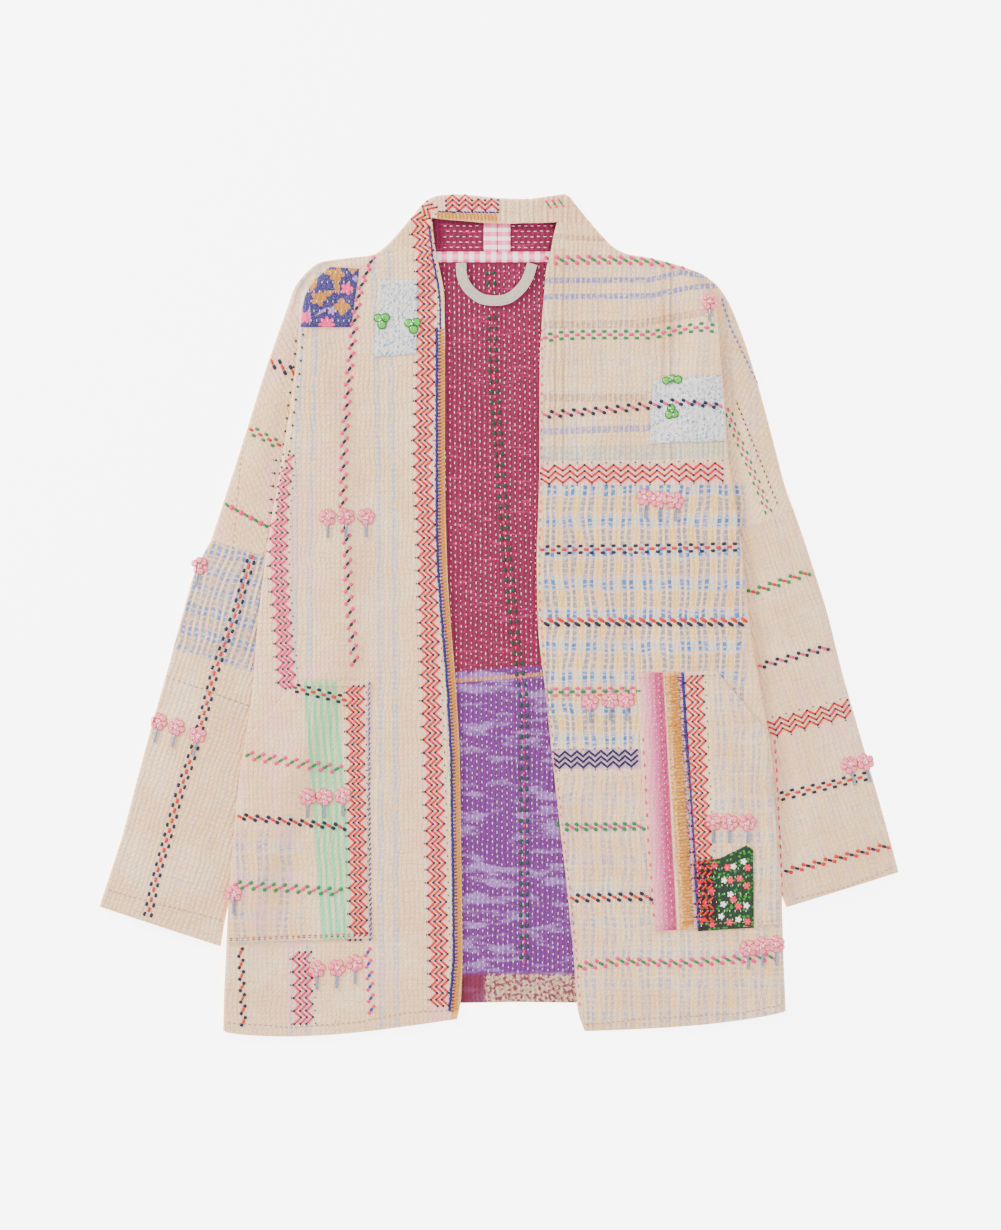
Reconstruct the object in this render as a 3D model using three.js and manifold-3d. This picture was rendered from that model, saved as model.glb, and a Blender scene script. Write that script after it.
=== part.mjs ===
// A reversible quilted jacket with an open front, laid flat on its back.
// Millimetres. X points to the wearer's left, Y towards the collar, Z up from the surface it lies on.
import * as THREE from 'three';
import { mergeVertices } from 'three/addons/utils/BufferGeometryUtils.js';
import Module from 'manifold-3d';

// Cloth walls and the gap left at every seam
const wall = 2.0;
const pocketWall = 1.6;
const patchWall = 1.0;
const tapeWall = 1.0;
const loopThickness = 3.0;
const seamGap = 0.3;
const onBack = wall + seamGap;
const onPocket = pocketWall + seamGap;

// Mid-surface heights of the layers, and the folds that join them
const floorLevel = wall / 2;
const restLevel = wall * 1.5 + seamGap;
const foldRadius = 1.6;
const fullDrop = 4 * foldRadius;
const collarRadius = 2.4;
const collarEdgeLevel = 6.8;
const neckEdgeLift = 3.2;
const neckLiftFrom = 300;
const neckLiftTo = 345;
const riseStart = 38;
const riseEnd = 4;
const seamTurn = 4;
const puffHeight = 2.5;

// How far from the side seam the turned-under side of a front comes down, and how high it still is
const underFall = [
  { distance: 16, share: 0.75, height: 1 },
  { distance: 8, share: 0.45, height: 0.47 },
  { distance: 3.5, share: 0.2, height: 0 },
  { distance: 0, share: 0, height: 0 },
];

// Cells across a row of a front, part by part
const flatCells = 3;
const riseCells = 4;
const turnCells = 4;
const returnCells = underFall.length;
const armCells = 6;
const seamCells = 3;
const bodyCells = flatCells + riseCells + 1;
const sideSeamColumn = bodyCells + turnCells + returnCells;

// A front's rows from neck to hem: the free edge, the fold at the side, the pleat's inner fold,
// the outline of shoulder and arm, the pleat's drop, the roll at the outline, the height of the
// layer turned under the side, and how far the row bows down.
const frontColumns = [
  'edgeX', 'edgeY', 'foldX', 'foldY', 'innerX', 'innerY', 'outX', 'outY', 'drop', 'roll', 'lift', 'bow',
];
const rightFrontTable = table(frontColumns, [
  [-59, 339, -113, 340.6, -117, 340.8, -121.5, 341, 0, 2.2, 0, 0],
  [-56, 326, -137.8, 336.3, -142.5, 337.2, -147, 338, 0.6, 1.9, 0, 0],
  [-53, 310.5, -160.5, 331, -165, 332.5, -170, 334.5, 1.5, 1.6, 0, 0],
  [-52, 299, -176.2, 317.8, -181, 319.7, -186, 322, 3, 1.6, 0, 0],
  [-52, 285, -185.3, 303, -189, 305.4, -195, 309, 5, 1.6, 0, 0],
  [-51.5, 266, -189.5, 278.5, -188, 278.5, -200.5, 293.5, fullDrop, 1.6, 0, 0],
  [-51.5, 231, -192, 244, -179.5, 242, -211, 264, fullDrop, 1.6, 0, 0],
  [-51.5, 185, -198, 196.5, -170, 194, -225, 223, fullDrop, 1.6, 0, 0],
  [-51.5, 133, -207, 141.5, -162.5, 138, -240.5, 173, fullDrop, 1.6, 0, 0],
  [-50.5, 81, -217, 84.5, -157, 81, -258.5, 117, fullDrop, 1.6, 0, 0],
  [-49, 36, -223.5, 38, -153, 35.5, -273.5, 71, fullDrop, 1.6, 0, 0],
  [-45.5, -14, -229.5, -14, -151, -16, 0, 0, fullDrop, 0, 7.4, 0],
  [-41, -71, -234.5, -77, -177.5, -81, 0, 0, fullDrop, 0, 7.4, 0],
  [-37.5, -138, -244.5, -139.5, -200.5, -142.5, 0, 0, fullDrop, 0, 7.4, 0],
  [-36.5, -204, -251.5, -206, -221.5, -208, 0, 0, fullDrop, 0, 7.4, 0],
  [-35.5, -271, -256.5, -271, -239.5, -271, 0, 0, fullDrop, 0, 7.4, 0],
  [-35, -328, -259.5, -326, -249, -326, 0, 0, fullDrop, 0, 5.5, 2],
  [-36.5, -366, -261.5, -370.5, -254, -370.5, 0, 0, fullDrop, 0, 2, 6],
  [-40, -383.5, -262, -395, -255, -395, 0, 0, fullDrop, 0, 1, 8.8],
]);
const leftFrontTable = table(frontColumns, [
  [48.5, 341, 114, 341.5, 118.3, 341.7, 122.5, 342, 0, 2.2, 0, 0],
  [45, 328, 134, 336.3, 138.7, 337.3, 143.5, 338.5, 0.6, 1.9, 0, 0],
  [43.5, 311.5, 158.7, 328.7, 163.4, 330.6, 168, 332.5, 1.5, 1.6, 0, 0],
  [42.5, 299, 183.4, 318.3, 188.1, 320.6, 193, 323.5, 3, 1.6, 0, 0],
  [41.5, 287, 198.3, 304.5, 202, 307.5, 208, 312, 5, 1.6, 0, 0],
  [40.5, 272.5, 206, 290, 205, 290, 216.5, 300, fullDrop, 1.6, 0, 0],
  [39, 240.5, 209.5, 252, 199.5, 250, 229.5, 270, fullDrop, 1.6, 0, 0],
  [38.5, 193, 214, 200.5, 191, 197.5, 244.5, 224, fullDrop, 1.6, 0, 0],
  [38.5, 147, 218, 149, 179.5, 145.5, 259.5, 169, fullDrop, 1.6, 0, 0],
  [37.5, 100, 225, 101.5, 166, 96, 272.5, 119.5, fullDrop, 1.6, 0, 0],
  [36, 56, 231, 61, 154, 55, 280, 99.5, fullDrop, 1.6, 0, 0],
  [37, -5, 237.5, -5, 162, -6.5, 0, 0, fullDrop, 0, 7.4, 0],
  [44.5, -75, 248.5, -71, 195, -73, 0, 0, fullDrop, 0, 7.4, 0],
  [51.5, -142.5, 259.5, -142.5, 215.5, -144.5, 0, 0, fullDrop, 0, 7.4, 0],
  [58, -199.5, 263.5, -202.5, 232, -203.5, 0, 0, fullDrop, 0, 7.4, 0],
  [64.5, -256.5, 268, -259.5, 249, -259.5, 0, 0, fullDrop, 0, 7.4, 0],
  [71, -323, 270, -323, 260, -323, 0, 0, fullDrop, 0, 5.5, 1],
  [75, -375, 272, -366, 264.5, -366, 0, 0, fullDrop, 0, 2, 3],
  [81.5, -395, 272.5, -376, 265.5, -376, 0, 0, fullDrop, 0, 1, 5],
]);

// The collar's rays from the shoulder to the centre back: the free edge, the rolled outline and
// the neck seam under it.
const collarColumns = ['edgeX', 'edgeY', 'outX', 'outY', 'neckX', 'neckY'];
const rightCollarTable = table(collarColumns, [
  [-61.5, 353.5, -109, 348.5, -101.5, 338.5],
  [-63, 367.5, -97, 361, -84.5, 338],
  [-64, 377, -81.5, 379.5, -67.5, 338.5],
  [-56, 376, -71, 392, -56, 339],
  [-46.5, 375, -60, 398, -44.5, 339.5],
  [-33, 374, -42, 399.5, -31.5, 339.5],
  [-18, 372.5, -20, 398, -16, 340],
  [-1.15, 371.5, -1.15, 396, -1.15, 340],
]);
const leftCollarTable = table(collarColumns, [
  [51, 354.5, 108.5, 349, 101.5, 339],
  [53, 364, 95, 363, 84.5, 338],
  [55.5, 373, 81.5, 379, 67.5, 338.5],
  [46.5, 372.5, 72, 391, 54, 339],
  [37, 372, 63.5, 399.5, 43.5, 339.5],
  [24.5, 372, 47.5, 397.5, 30.5, 339.5],
  [11.5, 371.5, 24.5, 395, 15, 340],
  [-0.85, 371.5, -0.85, 396, -0.85, 340],
]);

// A sleeve's sections from the seam to the cuff: outer edge, inner edge, and the share of the
// width that lies under the body.
const sleeveColumns = ['outX', 'outY', 'innerX', 'innerY', 'cover'];
const rightSleeveTable = table(sleeveColumns, [
  [-289, 41, -175, 3, 0.45],
  [-300, 3, -186, -35, 0.36],
  [-314.5, -50.5, -204, -86.5, 0.27],
  [-329.5, -103.5, -220.5, -139.5, 0.19],
  [-344, -157, -234.5, -193, 0.12],
  [-358, -210, -248, -244, 0.05],
  [-371.5, -252, -259.4, -287, 0],
  [-379.5, -276.5, -264, -314.5, 0],
]);
const leftSleeveTable = table(sleeveColumns, [
  [290.5, 69.5, 178, 24, 0.5],
  [299, 43, 190, -6.5, 0.43],
  [311.5, 3, 203.5, -46.5, 0.35],
  [325, -50.5, 218.5, -96, 0.3],
  [340, -103.5, 233, -145.5, 0.24],
  [355.5, -157, 246, -196.5, 0.15],
  [370.5, -210, 259.5, -244, 0.065],
  [379.5, -244, 272.6, -277.5, 0],
]);
const sleeveFaceCells = 10;

// The back's hem between the two side seams
const backHem = table(['x', 'y'], [
  [-151, -377], [-37, -368.5], [17, -367.5], [73, -367.5], [181.5, -369.5],
]);

// Outlines of what is sewn on, as they lie
const outlineColumns = ['x', 'y'];
const rightPocketOutline = table(outlineColumns, [
  [-123.5, -62.5], [-191, -62], [-243, -120.5], [-263, -311.5], [-119.5, -307], [-125.5, -271],
]);
const leftPocketOutline = table(outlineColumns, [
  [130, -55], [206, -53], [253.5, -109], [271, -293.5], [148, -300], [138.5, -214], [134, -119],
]);
const shoulderPatchOutline = table(outlineColumns, [
  [-182.5, 322], [-173, 330.5], [-133, 328.5], [-140.5, 273.5], [-188, 273],
]);
const neckPatchOutline = table(outlineColumns, [
  [-113, 318], [-77, 317.5], [-79, 248], [-119, 245],
]);
const chestPatchOutline = table(outlineColumns, [
  [146.5, 223], [213, 228], [215.5, 165.5], [143.5, 162.5],
]);
const pocketPatchOutline = table(outlineColumns, [
  [185, -234.5], [210, -231], [234.5, -218.5], [240.5, -222.5], [241.5, -296.5], [189, -300],
]);

// Binding tapes and the hanging loop at the back neck
const tapeCorner = 2;
const neckTape = { left: -66, right: 50, bottom: 335.2, top: 344.8 };
const rightCollarTape = { left: -14.2, right: -1.9, bottom: 345.1, top: 376 };
const leftCollarTape = { left: -0.9, right: 10.6, bottom: 345.1, top: 376 };
const loopWidth = 9.5;
const loopSteps = 24;
const loopPath = table(['x', 'y'], [
  [-36, 334.2], [-35, 322], [-29.5, 310.5], [-18, 301], [-4, 298.5],
  [9.5, 301], [21, 310.5], [27.5, 321], [31.5, 333.4],
]);

// Gives each row of numbers the names of its columns.
function table(columns, rows) {
  return rows.map((values) => Object.fromEntries(columns.map((name, i) => [name, values[i]])));
}

// Eases from 0 to 1.
function smooth(t) {
  const x = Math.min(1, Math.max(0, t));
  return x * x * (3 - 2 * x);
}

// A plan point with a height.
function lifted(point, height) {
  return new THREE.Vector3(point.x, point.y, height);
}

// The unit vector from one plan point to another.
function direction(from, to) {
  return to.clone().sub(from).normalize();
}

// The puff of a cloth layer that has air under it, clear of what covers its inner side.
function puff(share, cover, width) {
  const fromCover = smooth((share - cover - 0.06) / 0.25);
  const fromEdge = smooth((1 - share) / 0.3);
  const size = Math.min(1, Math.max(0, (width - 20) / 60));
  return puffHeight * size * fromCover * fromEdge;
}

// Side view of the pleat: the cloth turns down, runs back or on, and turns level again.
function pleatPath(span, drop) {
  const radius = drop / 4;
  const angle = span > 0 ? 2 * Math.atan2(2 * radius, span) : Math.PI;
  const straight = Math.abs(span);
  const arc = radius * angle;
  const total = 2 * arc + straight;
  function at(length) {
    if (length < arc) {
      const turned = length / radius;
      return { run: radius * Math.sin(turned), fall: radius * (1 - Math.cos(turned)) };
    }
    if (length > arc + straight) {
      const left = (total - length) / radius;
      return { run: span - radius * Math.sin(left), fall: drop - radius * (1 - Math.cos(left)) };
    }
    const along = length - arc;
    return {
      run: radius * Math.sin(angle) + along * Math.cos(angle),
      fall: radius * (1 - Math.cos(angle)) + along * Math.sin(angle),
    };
  }
  return { arc, straight, total, at };
}

// Where along the pleat its columns lie: evenly while it is shallow, then by its turns.
function pleatStations(path, drop) {
  const stations = [];
  for (let i = 1; i <= turnCells; i += 1) stations.push(path.arc * i / turnCells);
  for (const fall of underFall) {
    const toEnd = Math.min(fall.distance, fall.share * path.straight);
    stations.push(path.arc + path.straight - toEnd);
  }
  for (let i = 1; i <= turnCells; i += 1) {
    stations.push(path.arc + path.straight + path.arc * i / turnCells);
  }
  const shallow = 1 - smooth(drop / 5);
  return stations.map((station, i) => {
    const even = path.total * (i + 1) / stations.length;
    return station + (even - station) * shallow;
  });
}

// The body part of a front's row, from the free edge up to the side fold.
function bodyPoints(row, edge, fold, overlap, edgeLevel, topLevel, inset) {
  const width = edge.distanceTo(fold);
  const rise = Math.min(overlap + riseStart, 0.75 * width);
  const crest = Math.min(overlap + riseEnd, 0.35 * width);
  const distances = [];
  for (let i = 0; i < flatCells; i += 1) distances.push(width + (rise - width) * i / flatCells);
  for (let i = 0; i < riseCells; i += 1) distances.push(rise + (crest - rise) * i / riseCells);
  distances.push(crest, inset);
  return distances.map((distance) => {
    const share = distance / width;
    const plan = fold.clone().lerp(edge, share);
    plan.y -= row.bow * Math.sin(Math.PI * share ** 0.75);
    const height = smooth((rise - distance) / (rise - crest));
    return lifted(plan, edgeLevel + (topLevel - edgeLevel) * height);
  });
}

// The arm part of a front's row, rolled over the outline and turned in to the seam beneath.
function armPoints(start, out, seam, level, roll, cover, flange) {
  const outward = direction(start, out);
  const rollCentre = out.clone().addScaledVector(outward, -(roll + wall / 2));
  const width = start.distanceTo(rollCentre);
  const points = [];
  for (let i = 1; i <= armCells; i += 1) {
    const share = i / armCells;
    const swell = flange ? 0 : puff(share, cover, width);
    points.push(lifted(start.clone().lerp(rollCentre, share), level + swell));
  }
  for (let i = 1; i <= turnCells; i += 1) {
    const turned = Math.PI * i / turnCells;
    const plan = rollCentre.clone().addScaledVector(outward, roll * Math.sin(turned));
    points.push(lifted(plan, floorLevel + roll * (1 + Math.cos(turned))));
  }
  const end = seam ?? rollCentre.clone().addScaledVector(outward, -seamTurn);
  for (let i = 1; i <= seamCells; i += 1) {
    points.push(lifted(rollCentre.clone().lerp(end, i / seamCells), floorLevel));
  }
  return points;
}

// One row of a front through shoulder and arm.
function shoulderRow(row) {
  const edge = new THREE.Vector2(row.edgeX, row.edgeY);
  const fold = new THREE.Vector2(row.foldX, row.foldY);
  const inner = new THREE.Vector2(row.innerX, row.innerY);
  const out = new THREE.Vector2(row.outX, row.outY);
  const outward = direction(edge, fold);
  const radius = row.drop / 4;
  const overlap = Math.max(0, fold.clone().sub(inner).dot(outward));
  const start = fold.clone().addScaledVector(outward, -(radius + wall / 2));
  const end = inner.clone();
  if (overlap > 0) end.addScaledVector(direction(inner, out), radius + wall / 2);
  const span = end.clone().sub(start).dot(outward);
  const aside = end.clone().sub(start).addScaledVector(outward, -span);
  const level = floorLevel + 2 * row.roll;
  const topLevel = level + row.drop;
  const neckLift = smooth((row.edgeY - neckLiftFrom) / (neckLiftTo - neckLiftFrom));
  const edgeLevel = restLevel + neckEdgeLift * neckLift;
  const points = bodyPoints(row, edge, fold, overlap, edgeLevel, topLevel, radius + wall / 2);
  const path = pleatPath(span, row.drop);
  for (const station of pleatStations(path, row.drop)) {
    const { run, fall } = path.at(station);
    const plan = start.clone().addScaledVector(outward, run);
    plan.addScaledVector(aside, station / path.total);
    points.push(lifted(plan, topLevel - fall));
  }
  const cover = overlap / end.distanceTo(out);
  points.push(...armPoints(end, out, null, level, row.roll, cover, false));
  return points;
}

// One row of a front below the arm: the side is turned under and comes down to the side seam.
function sideRow(row) {
  const edge = new THREE.Vector2(row.edgeX, row.edgeY);
  const fold = new THREE.Vector2(row.foldX, row.foldY);
  const seam = new THREE.Vector2(row.innerX, row.innerY);
  const outward = direction(edge, fold);
  const overlap = fold.distanceTo(seam);
  const inset = foldRadius + wall / 2;
  const topLevel = row.lift + 2 * foldRadius;
  const points = bodyPoints(row, edge, fold, overlap, restLevel, topLevel, inset);
  const centre = fold.clone().addScaledVector(outward, -inset);
  for (let i = 1; i <= turnCells; i += 1) {
    const turned = Math.PI * i / turnCells;
    const plan = centre.clone().addScaledVector(outward, foldRadius * Math.sin(turned));
    points.push(lifted(plan, row.lift + foldRadius * (1 + Math.cos(turned))));
  }
  const under = centre.distanceTo(seam);
  for (const fall of underFall) {
    const distance = Math.min(fall.distance, fall.share * under);
    const plan = seam.clone().lerp(centre, distance / under);
    points.push(lifted(plan, floorLevel + (row.lift - floorLevel) * fall.height));
  }
  return points;
}

// One ray of the collar: a flange that lies over the stand, rolled under at the outline.
function collarRay(row) {
  const edge = new THREE.Vector2(row.edgeX, row.edgeY);
  const out = new THREE.Vector2(row.outX, row.outY);
  const neck = new THREE.Vector2(row.neckX, row.neckY);
  const fold = edge.clone().lerp(out, 0.45);
  const inner = edge.clone().lerp(out, 0.7);
  const level = floorLevel + 2 * collarRadius;
  const flat = { bow: 0 };
  const points = bodyPoints(flat, edge, fold, 0, collarEdgeLevel, level, wall / 2);
  const start = points[points.length - 1];
  const steps = 2 * turnCells + returnCells;
  for (let i = 1; i <= steps; i += 1) {
    points.push(start.clone().lerp(lifted(inner, level), i / steps));
  }
  points.push(...armPoints(inner, out, neck, level, collarRadius, 0, true));
  return points;
}

// All rows of a front, from the centre back of the collar down to the hem.
function frontGrid(collarTable, frontTable) {
  const rays = collarTable.map(collarRay).reverse();
  const rows = frontTable.map((row) => (row.roll > 0 ? shoulderRow(row) : sideRow(row)));
  return [...rays, ...rows];
}

// The number of rows that reach over the shoulder and arm.
function armRowCount(collarTable, frontTable) {
  return collarTable.length + frontTable.filter((row) => row.roll > 0).length;
}

// Surface normals of a grid, from each point's neighbours.
function gridNormals(grid, closed, side) {
  return grid.map((row, i) => row.map((point, j) => {
    const above = grid[Math.max(0, i - 1)][j] ?? point;
    const below = grid[Math.min(grid.length - 1, i + 1)][j] ?? point;
    const last = row.length - 1;
    const before = closed ? row[(j + last) % row.length] : row[Math.max(0, j - 1)];
    const after = closed ? row[(j + 1) % row.length] : row[Math.min(last, j + 1)];
    const across = after.clone().sub(before);
    const down = below.clone().sub(above);
    return across.cross(down).normalize().multiplyScalar(side);
  }));
}

// A closed sheet of cloth around the mid-surface points of a grid, moved out by an offset.
function sheetGeometry(grid, normals, thickness, { keep = () => true, closed = false, offset = 0 } = {}) {
  const numbers = new Map();
  const positions = [];
  const triangles = [];
  const edges = new Map();
  function vertex(i, j, sideOfSheet) {
    const key = `${i},${j},${sideOfSheet}`;
    if (!numbers.has(key)) {
      const shift = offset + sideOfSheet * thickness / 2;
      const point = grid[i][j].clone().addScaledVector(normals[i][j], shift);
      numbers.set(key, positions.length / 3);
      positions.push(point.x, point.y, Math.max(0, point.z));
    }
    return numbers.get(key);
  }
  function edge(from, to) {
    const back = `${to};${from}`;
    if (edges.has(back)) edges.delete(back);
    else edges.set(`${from};${to}`, [from.split(',').map(Number), to.split(',').map(Number)]);
  }
  for (let i = 0; i + 1 < grid.length; i += 1) {
    const cells = closed ? grid[i].length : grid[i].length - 1;
    for (let j = 0; j < cells; j += 1) {
      if (!keep(i, j)) continue;
      const next = (j + 1) % grid[i].length;
      const corners = [[i, j], [i + 1, j], [i + 1, next], [i, next]];
      const top = corners.map(([a, b]) => vertex(a, b, 1));
      const bottom = corners.map(([a, b]) => vertex(a, b, -1));
      triangles.push(top[0], top[1], top[2], top[0], top[2], top[3]);
      triangles.push(bottom[0], bottom[2], bottom[1], bottom[0], bottom[3], bottom[2]);
      corners.forEach((corner, k) => edge(corner.join(), corners[(k + 1) % 4].join()));
    }
  }
  for (const [[fromRow, fromColumn], [toRow, toColumn]] of edges.values()) {
    const a = vertex(fromRow, fromColumn, 1);
    const b = vertex(toRow, toColumn, 1);
    const c = vertex(toRow, toColumn, -1);
    const d = vertex(fromRow, fromColumn, -1);
    triangles.push(a, d, c, a, c, b);
  }
  return facingOut(positions, triangles);
}

// Builds the geometry with its faces pointing out, whichever way the grid ran.
function facingOut(positions, triangles) {
  let volume = 0;
  const corner = (index) => new THREE.Vector3().fromArray(positions, 3 * index);
  for (let i = 0; i < triangles.length; i += 3) {
    const a = corner(triangles[i]);
    const b = corner(triangles[i + 1]);
    const c = corner(triangles[i + 2]);
    volume += a.dot(b.cross(c));
  }
  if (volume < 0) triangles.reverse();
  const geometry = new THREE.BufferGeometry();
  geometry.setAttribute('position', new THREE.Float32BufferAttribute(positions, 3));
  geometry.setIndex(triangles);
  return geometry;
}

// A sleeve's flattened rings: along the top, round the outer edge, back along the floor.
function sleeveRing(section, firstWidth) {
  const inner = new THREE.Vector2(section.innerX, section.innerY);
  const out = new THREE.Vector2(section.outX, section.outY);
  const outward = direction(inner, out);
  const inset = foldRadius + wall / 2;
  const innerCentre = inner.clone().addScaledVector(outward, inset);
  const outCentre = out.clone().addScaledVector(outward, -inset);
  const level = floorLevel + 2 * foldRadius;
  const points = [];
  for (let i = 0; i < sleeveFaceCells; i += 1) {
    const share = i / sleeveFaceCells;
    const height = level + puff(share, section.cover, firstWidth);
    points.push(lifted(innerCentre.clone().lerp(outCentre, share), height));
  }
  for (let i = 0; i < turnCells; i += 1) {
    const turned = Math.PI * i / turnCells;
    const plan = outCentre.clone().addScaledVector(outward, foldRadius * Math.sin(turned));
    points.push(lifted(plan, floorLevel + foldRadius * (1 + Math.cos(turned))));
  }
  for (let i = 0; i < sleeveFaceCells; i += 1) {
    points.push(lifted(outCentre.clone().lerp(innerCentre, i / sleeveFaceCells), floorLevel));
  }
  for (let i = 0; i < turnCells; i += 1) {
    const turned = Math.PI * i / turnCells;
    const plan = innerCentre.clone().addScaledVector(outward, -foldRadius * Math.sin(turned));
    points.push(lifted(plan, floorLevel + foldRadius * (1 - Math.cos(turned))));
  }
  return points;
}

// The sleeve's first section lies one seam gap from the front's arm.
function seamSection(armRow, side) {
  const seam = new THREE.Vector2(armRow.outX - armRow.innerX, armRow.outY - armRow.innerY).normalize();
  const down = new THREE.Vector2(seam.y, -seam.x).multiplyScalar(side * seamGap);
  return {
    outX: armRow.outX + down.x,
    outY: armRow.outY + down.y,
    innerX: armRow.innerX + down.x,
    innerY: armRow.innerY + down.y,
    cover: 0.56,
  };
}

function sleeveGeometry(sleeveTable, frontTable, side) {
  const armRow = frontTable.filter((row) => row.roll > 0).at(-1);
  const sections = [seamSection(armRow, side), ...sleeveTable];
  const width = Math.hypot(armRow.outX - armRow.innerX, armRow.outY - armRow.innerY);
  const grid = sections.map((section) => sleeveRing(section, width));
  return sheetGeometry(grid, gridNormals(grid, true, 1), wall, { closed: true });
}

// Moves the points of an edge in by the seam gap; the first and last may slide along a direction.
function insetEdge(points, side) {
  return points.map((point, i) => {
    const before = points[Math.max(0, i - 1)];
    const after = points[Math.min(points.length - 1, i + 1)];
    const along = direction(before, after);
    const inward = new THREE.Vector2(-along.y, along.x).multiplyScalar(side);
    return point.clone().addScaledVector(inward, seamGap);
  });
}

// The back's edge along one front: the neck, shoulder and arm seams, the armpit, the side seam.
function backSide(grid, armRows, frontTable, side) {
  const plan = (point) => new THREE.Vector2(point.x, point.y);
  const armRow = frontTable.filter((entry) => entry.roll > 0).at(-1);
  const armpit = new THREE.Vector2(armRow.innerX, armRow.innerY);
  const upper = insetEdge(grid.slice(0, armRows).map((row) => plan(row.at(-1))), side);
  const armEnd = plan(grid[armRows - 1].at(-1));
  upper[upper.length - 1] = armEnd.clone().addScaledVector(direction(armEnd, armpit), seamGap);
  const lower = insetEdge(grid.slice(armRows).map((row) => plan(row[sideSeamColumn])), side);
  return [...upper, armpit, ...lower];
}

function backGeometry(rightSide, leftSide) {
  const hem = backHem.map((point) => new THREE.Vector2(point.x, point.y));
  const outline = [...rightSide, ...hem, ...leftSide.slice().reverse()];
  const shape = new THREE.Shape(outline);
  return new THREE.ExtrudeGeometry(shape, { depth: wall, bevelEnabled: false });
}

// A strip of tape with rounded corners.
function tapeGeometry({ left, right, bottom, top }) {
  const shape = new THREE.Shape();
  shape.moveTo(left + tapeCorner, bottom);
  shape.lineTo(right - tapeCorner, bottom);
  shape.quadraticCurveTo(right, bottom, right, bottom + tapeCorner);
  shape.lineTo(right, top - tapeCorner);
  shape.quadraticCurveTo(right, top, right - tapeCorner, top);
  shape.lineTo(left + tapeCorner, top);
  shape.quadraticCurveTo(left, top, left, top - tapeCorner);
  shape.lineTo(left, bottom + tapeCorner);
  shape.quadraticCurveTo(left, bottom, left + tapeCorner, bottom);
  return new THREE.ExtrudeGeometry(shape, { depth: tapeWall, bevelEnabled: false, curveSegments: 4 });
}

// The hanging loop: a flat band bent along its path.
function loopGeometry() {
  const curve = new THREE.CatmullRomCurve3(loopPath.map((point) => new THREE.Vector3(point.x, point.y, 0)));
  const grid = [];
  for (let i = 0; i <= loopSteps; i += 1) {
    const centre = curve.getPointAt(i / loopSteps).setZ(onBack + loopThickness / 2);
    const tangent = curve.getTangentAt(i / loopSteps);
    const across = new THREE.Vector3(-tangent.y, tangent.x, 0).multiplyScalar(loopWidth / 2);
    grid.push([centre.clone().sub(across), centre, centre.clone().add(across)]);
  }
  return sheetGeometry(grid, gridNormals(grid, false, 1), loopThickness);
}

const wasm = await Module();
wasm.setup();

// A closed mesh as a solid for cutting.
function solidOf(geometry) {
  const bare = geometry.clone();
  bare.deleteAttribute('normal');
  bare.deleteAttribute('uv');
  const merged = mergeVertices(bare, 1e-4);
  return new wasm.Manifold(new wasm.Mesh({
    numProp: 3,
    vertProperties: new Float32Array(merged.attributes.position.array),
    triVerts: new Uint32Array(merged.index.array),
  }));
}

// A solid's faces as a geometry.
function geometryOf(solid) {
  const mesh = solid.getMesh();
  const geometry = new THREE.BufferGeometry();
  geometry.setAttribute('position', new THREE.BufferAttribute(new Float32Array(mesh.vertProperties), 3));
  geometry.setIndex(Array.from(mesh.triVerts));
  return geometry;
}

// A piece sewn on a front: the front's own points moved out, cut to the piece's outline.
function appliedGeometry(grid, normals, outline, thickness, beneath) {
  const offset = wall / 2 + beneath + seamGap + thickness / 2;
  const keep = (i, j) => j < bodyCells && i >= rightCollarTable.length;
  const sheet = sheetGeometry(grid, normals, thickness, { keep, offset });
  const shape = new THREE.Shape(outline.map((point) => new THREE.Vector2(point.x, point.y)));
  const cutter = new THREE.ExtrudeGeometry(shape, { depth: 10 * wall, bevelEnabled: false });
  return geometryOf(solidOf(sheet).intersect(solidOf(cutter)));
}

const cream = { color: 0xe2d6c8, roughness: 0.95, metalness: 0 };
const magenta = { color: 0xa8215a, roughness: 0.9, metalness: 0 };
const floral = { color: 0x2b2a5b, roughness: 0.9, metalness: 0 };
const pale = { color: 0xd9dcc9, roughness: 0.9, metalness: 0 };
const leafGreen = { color: 0x1f5a44, roughness: 0.9, metalness: 0 };
const gingham = { color: 0xe9a9bd, roughness: 0.9, metalness: 0 };
const loopCloth = { color: 0xcfc8be, roughness: 0.9, metalness: 0 };

const jacket = new THREE.Group();

// Adds one piece to the jacket under its own name.
function add(name, geometry, finish, height = 0) {
  const mesh = new THREE.Mesh(geometry, new THREE.MeshStandardMaterial(finish));
  mesh.name = name;
  mesh.position.z = height;
  jacket.add(mesh);
}

const rightGrid = frontGrid(rightCollarTable, rightFrontTable);
const leftGrid = frontGrid(leftCollarTable, leftFrontTable);
const armRows = armRowCount(rightCollarTable, rightFrontTable);
const rightNormals = gridNormals(rightGrid, false, 1);
const leftNormals = gridNormals(leftGrid, false, -1);
const keepFront = (i, j) => i < armRows - 1 || j < sideSeamColumn;

add('right_front', sheetGeometry(rightGrid, rightNormals, wall, { keep: keepFront }), cream);
add('left_front', sheetGeometry(leftGrid, leftNormals, wall, { keep: keepFront }), cream);
add('back', backGeometry(
  backSide(rightGrid, armRows, rightFrontTable, 1),
  backSide(leftGrid, armRows, leftFrontTable, -1),
), magenta);
add('right_sleeve', sleeveGeometry(rightSleeveTable, rightFrontTable, -1), cream);
add('left_sleeve', sleeveGeometry(leftSleeveTable, leftFrontTable, 1), cream);

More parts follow.
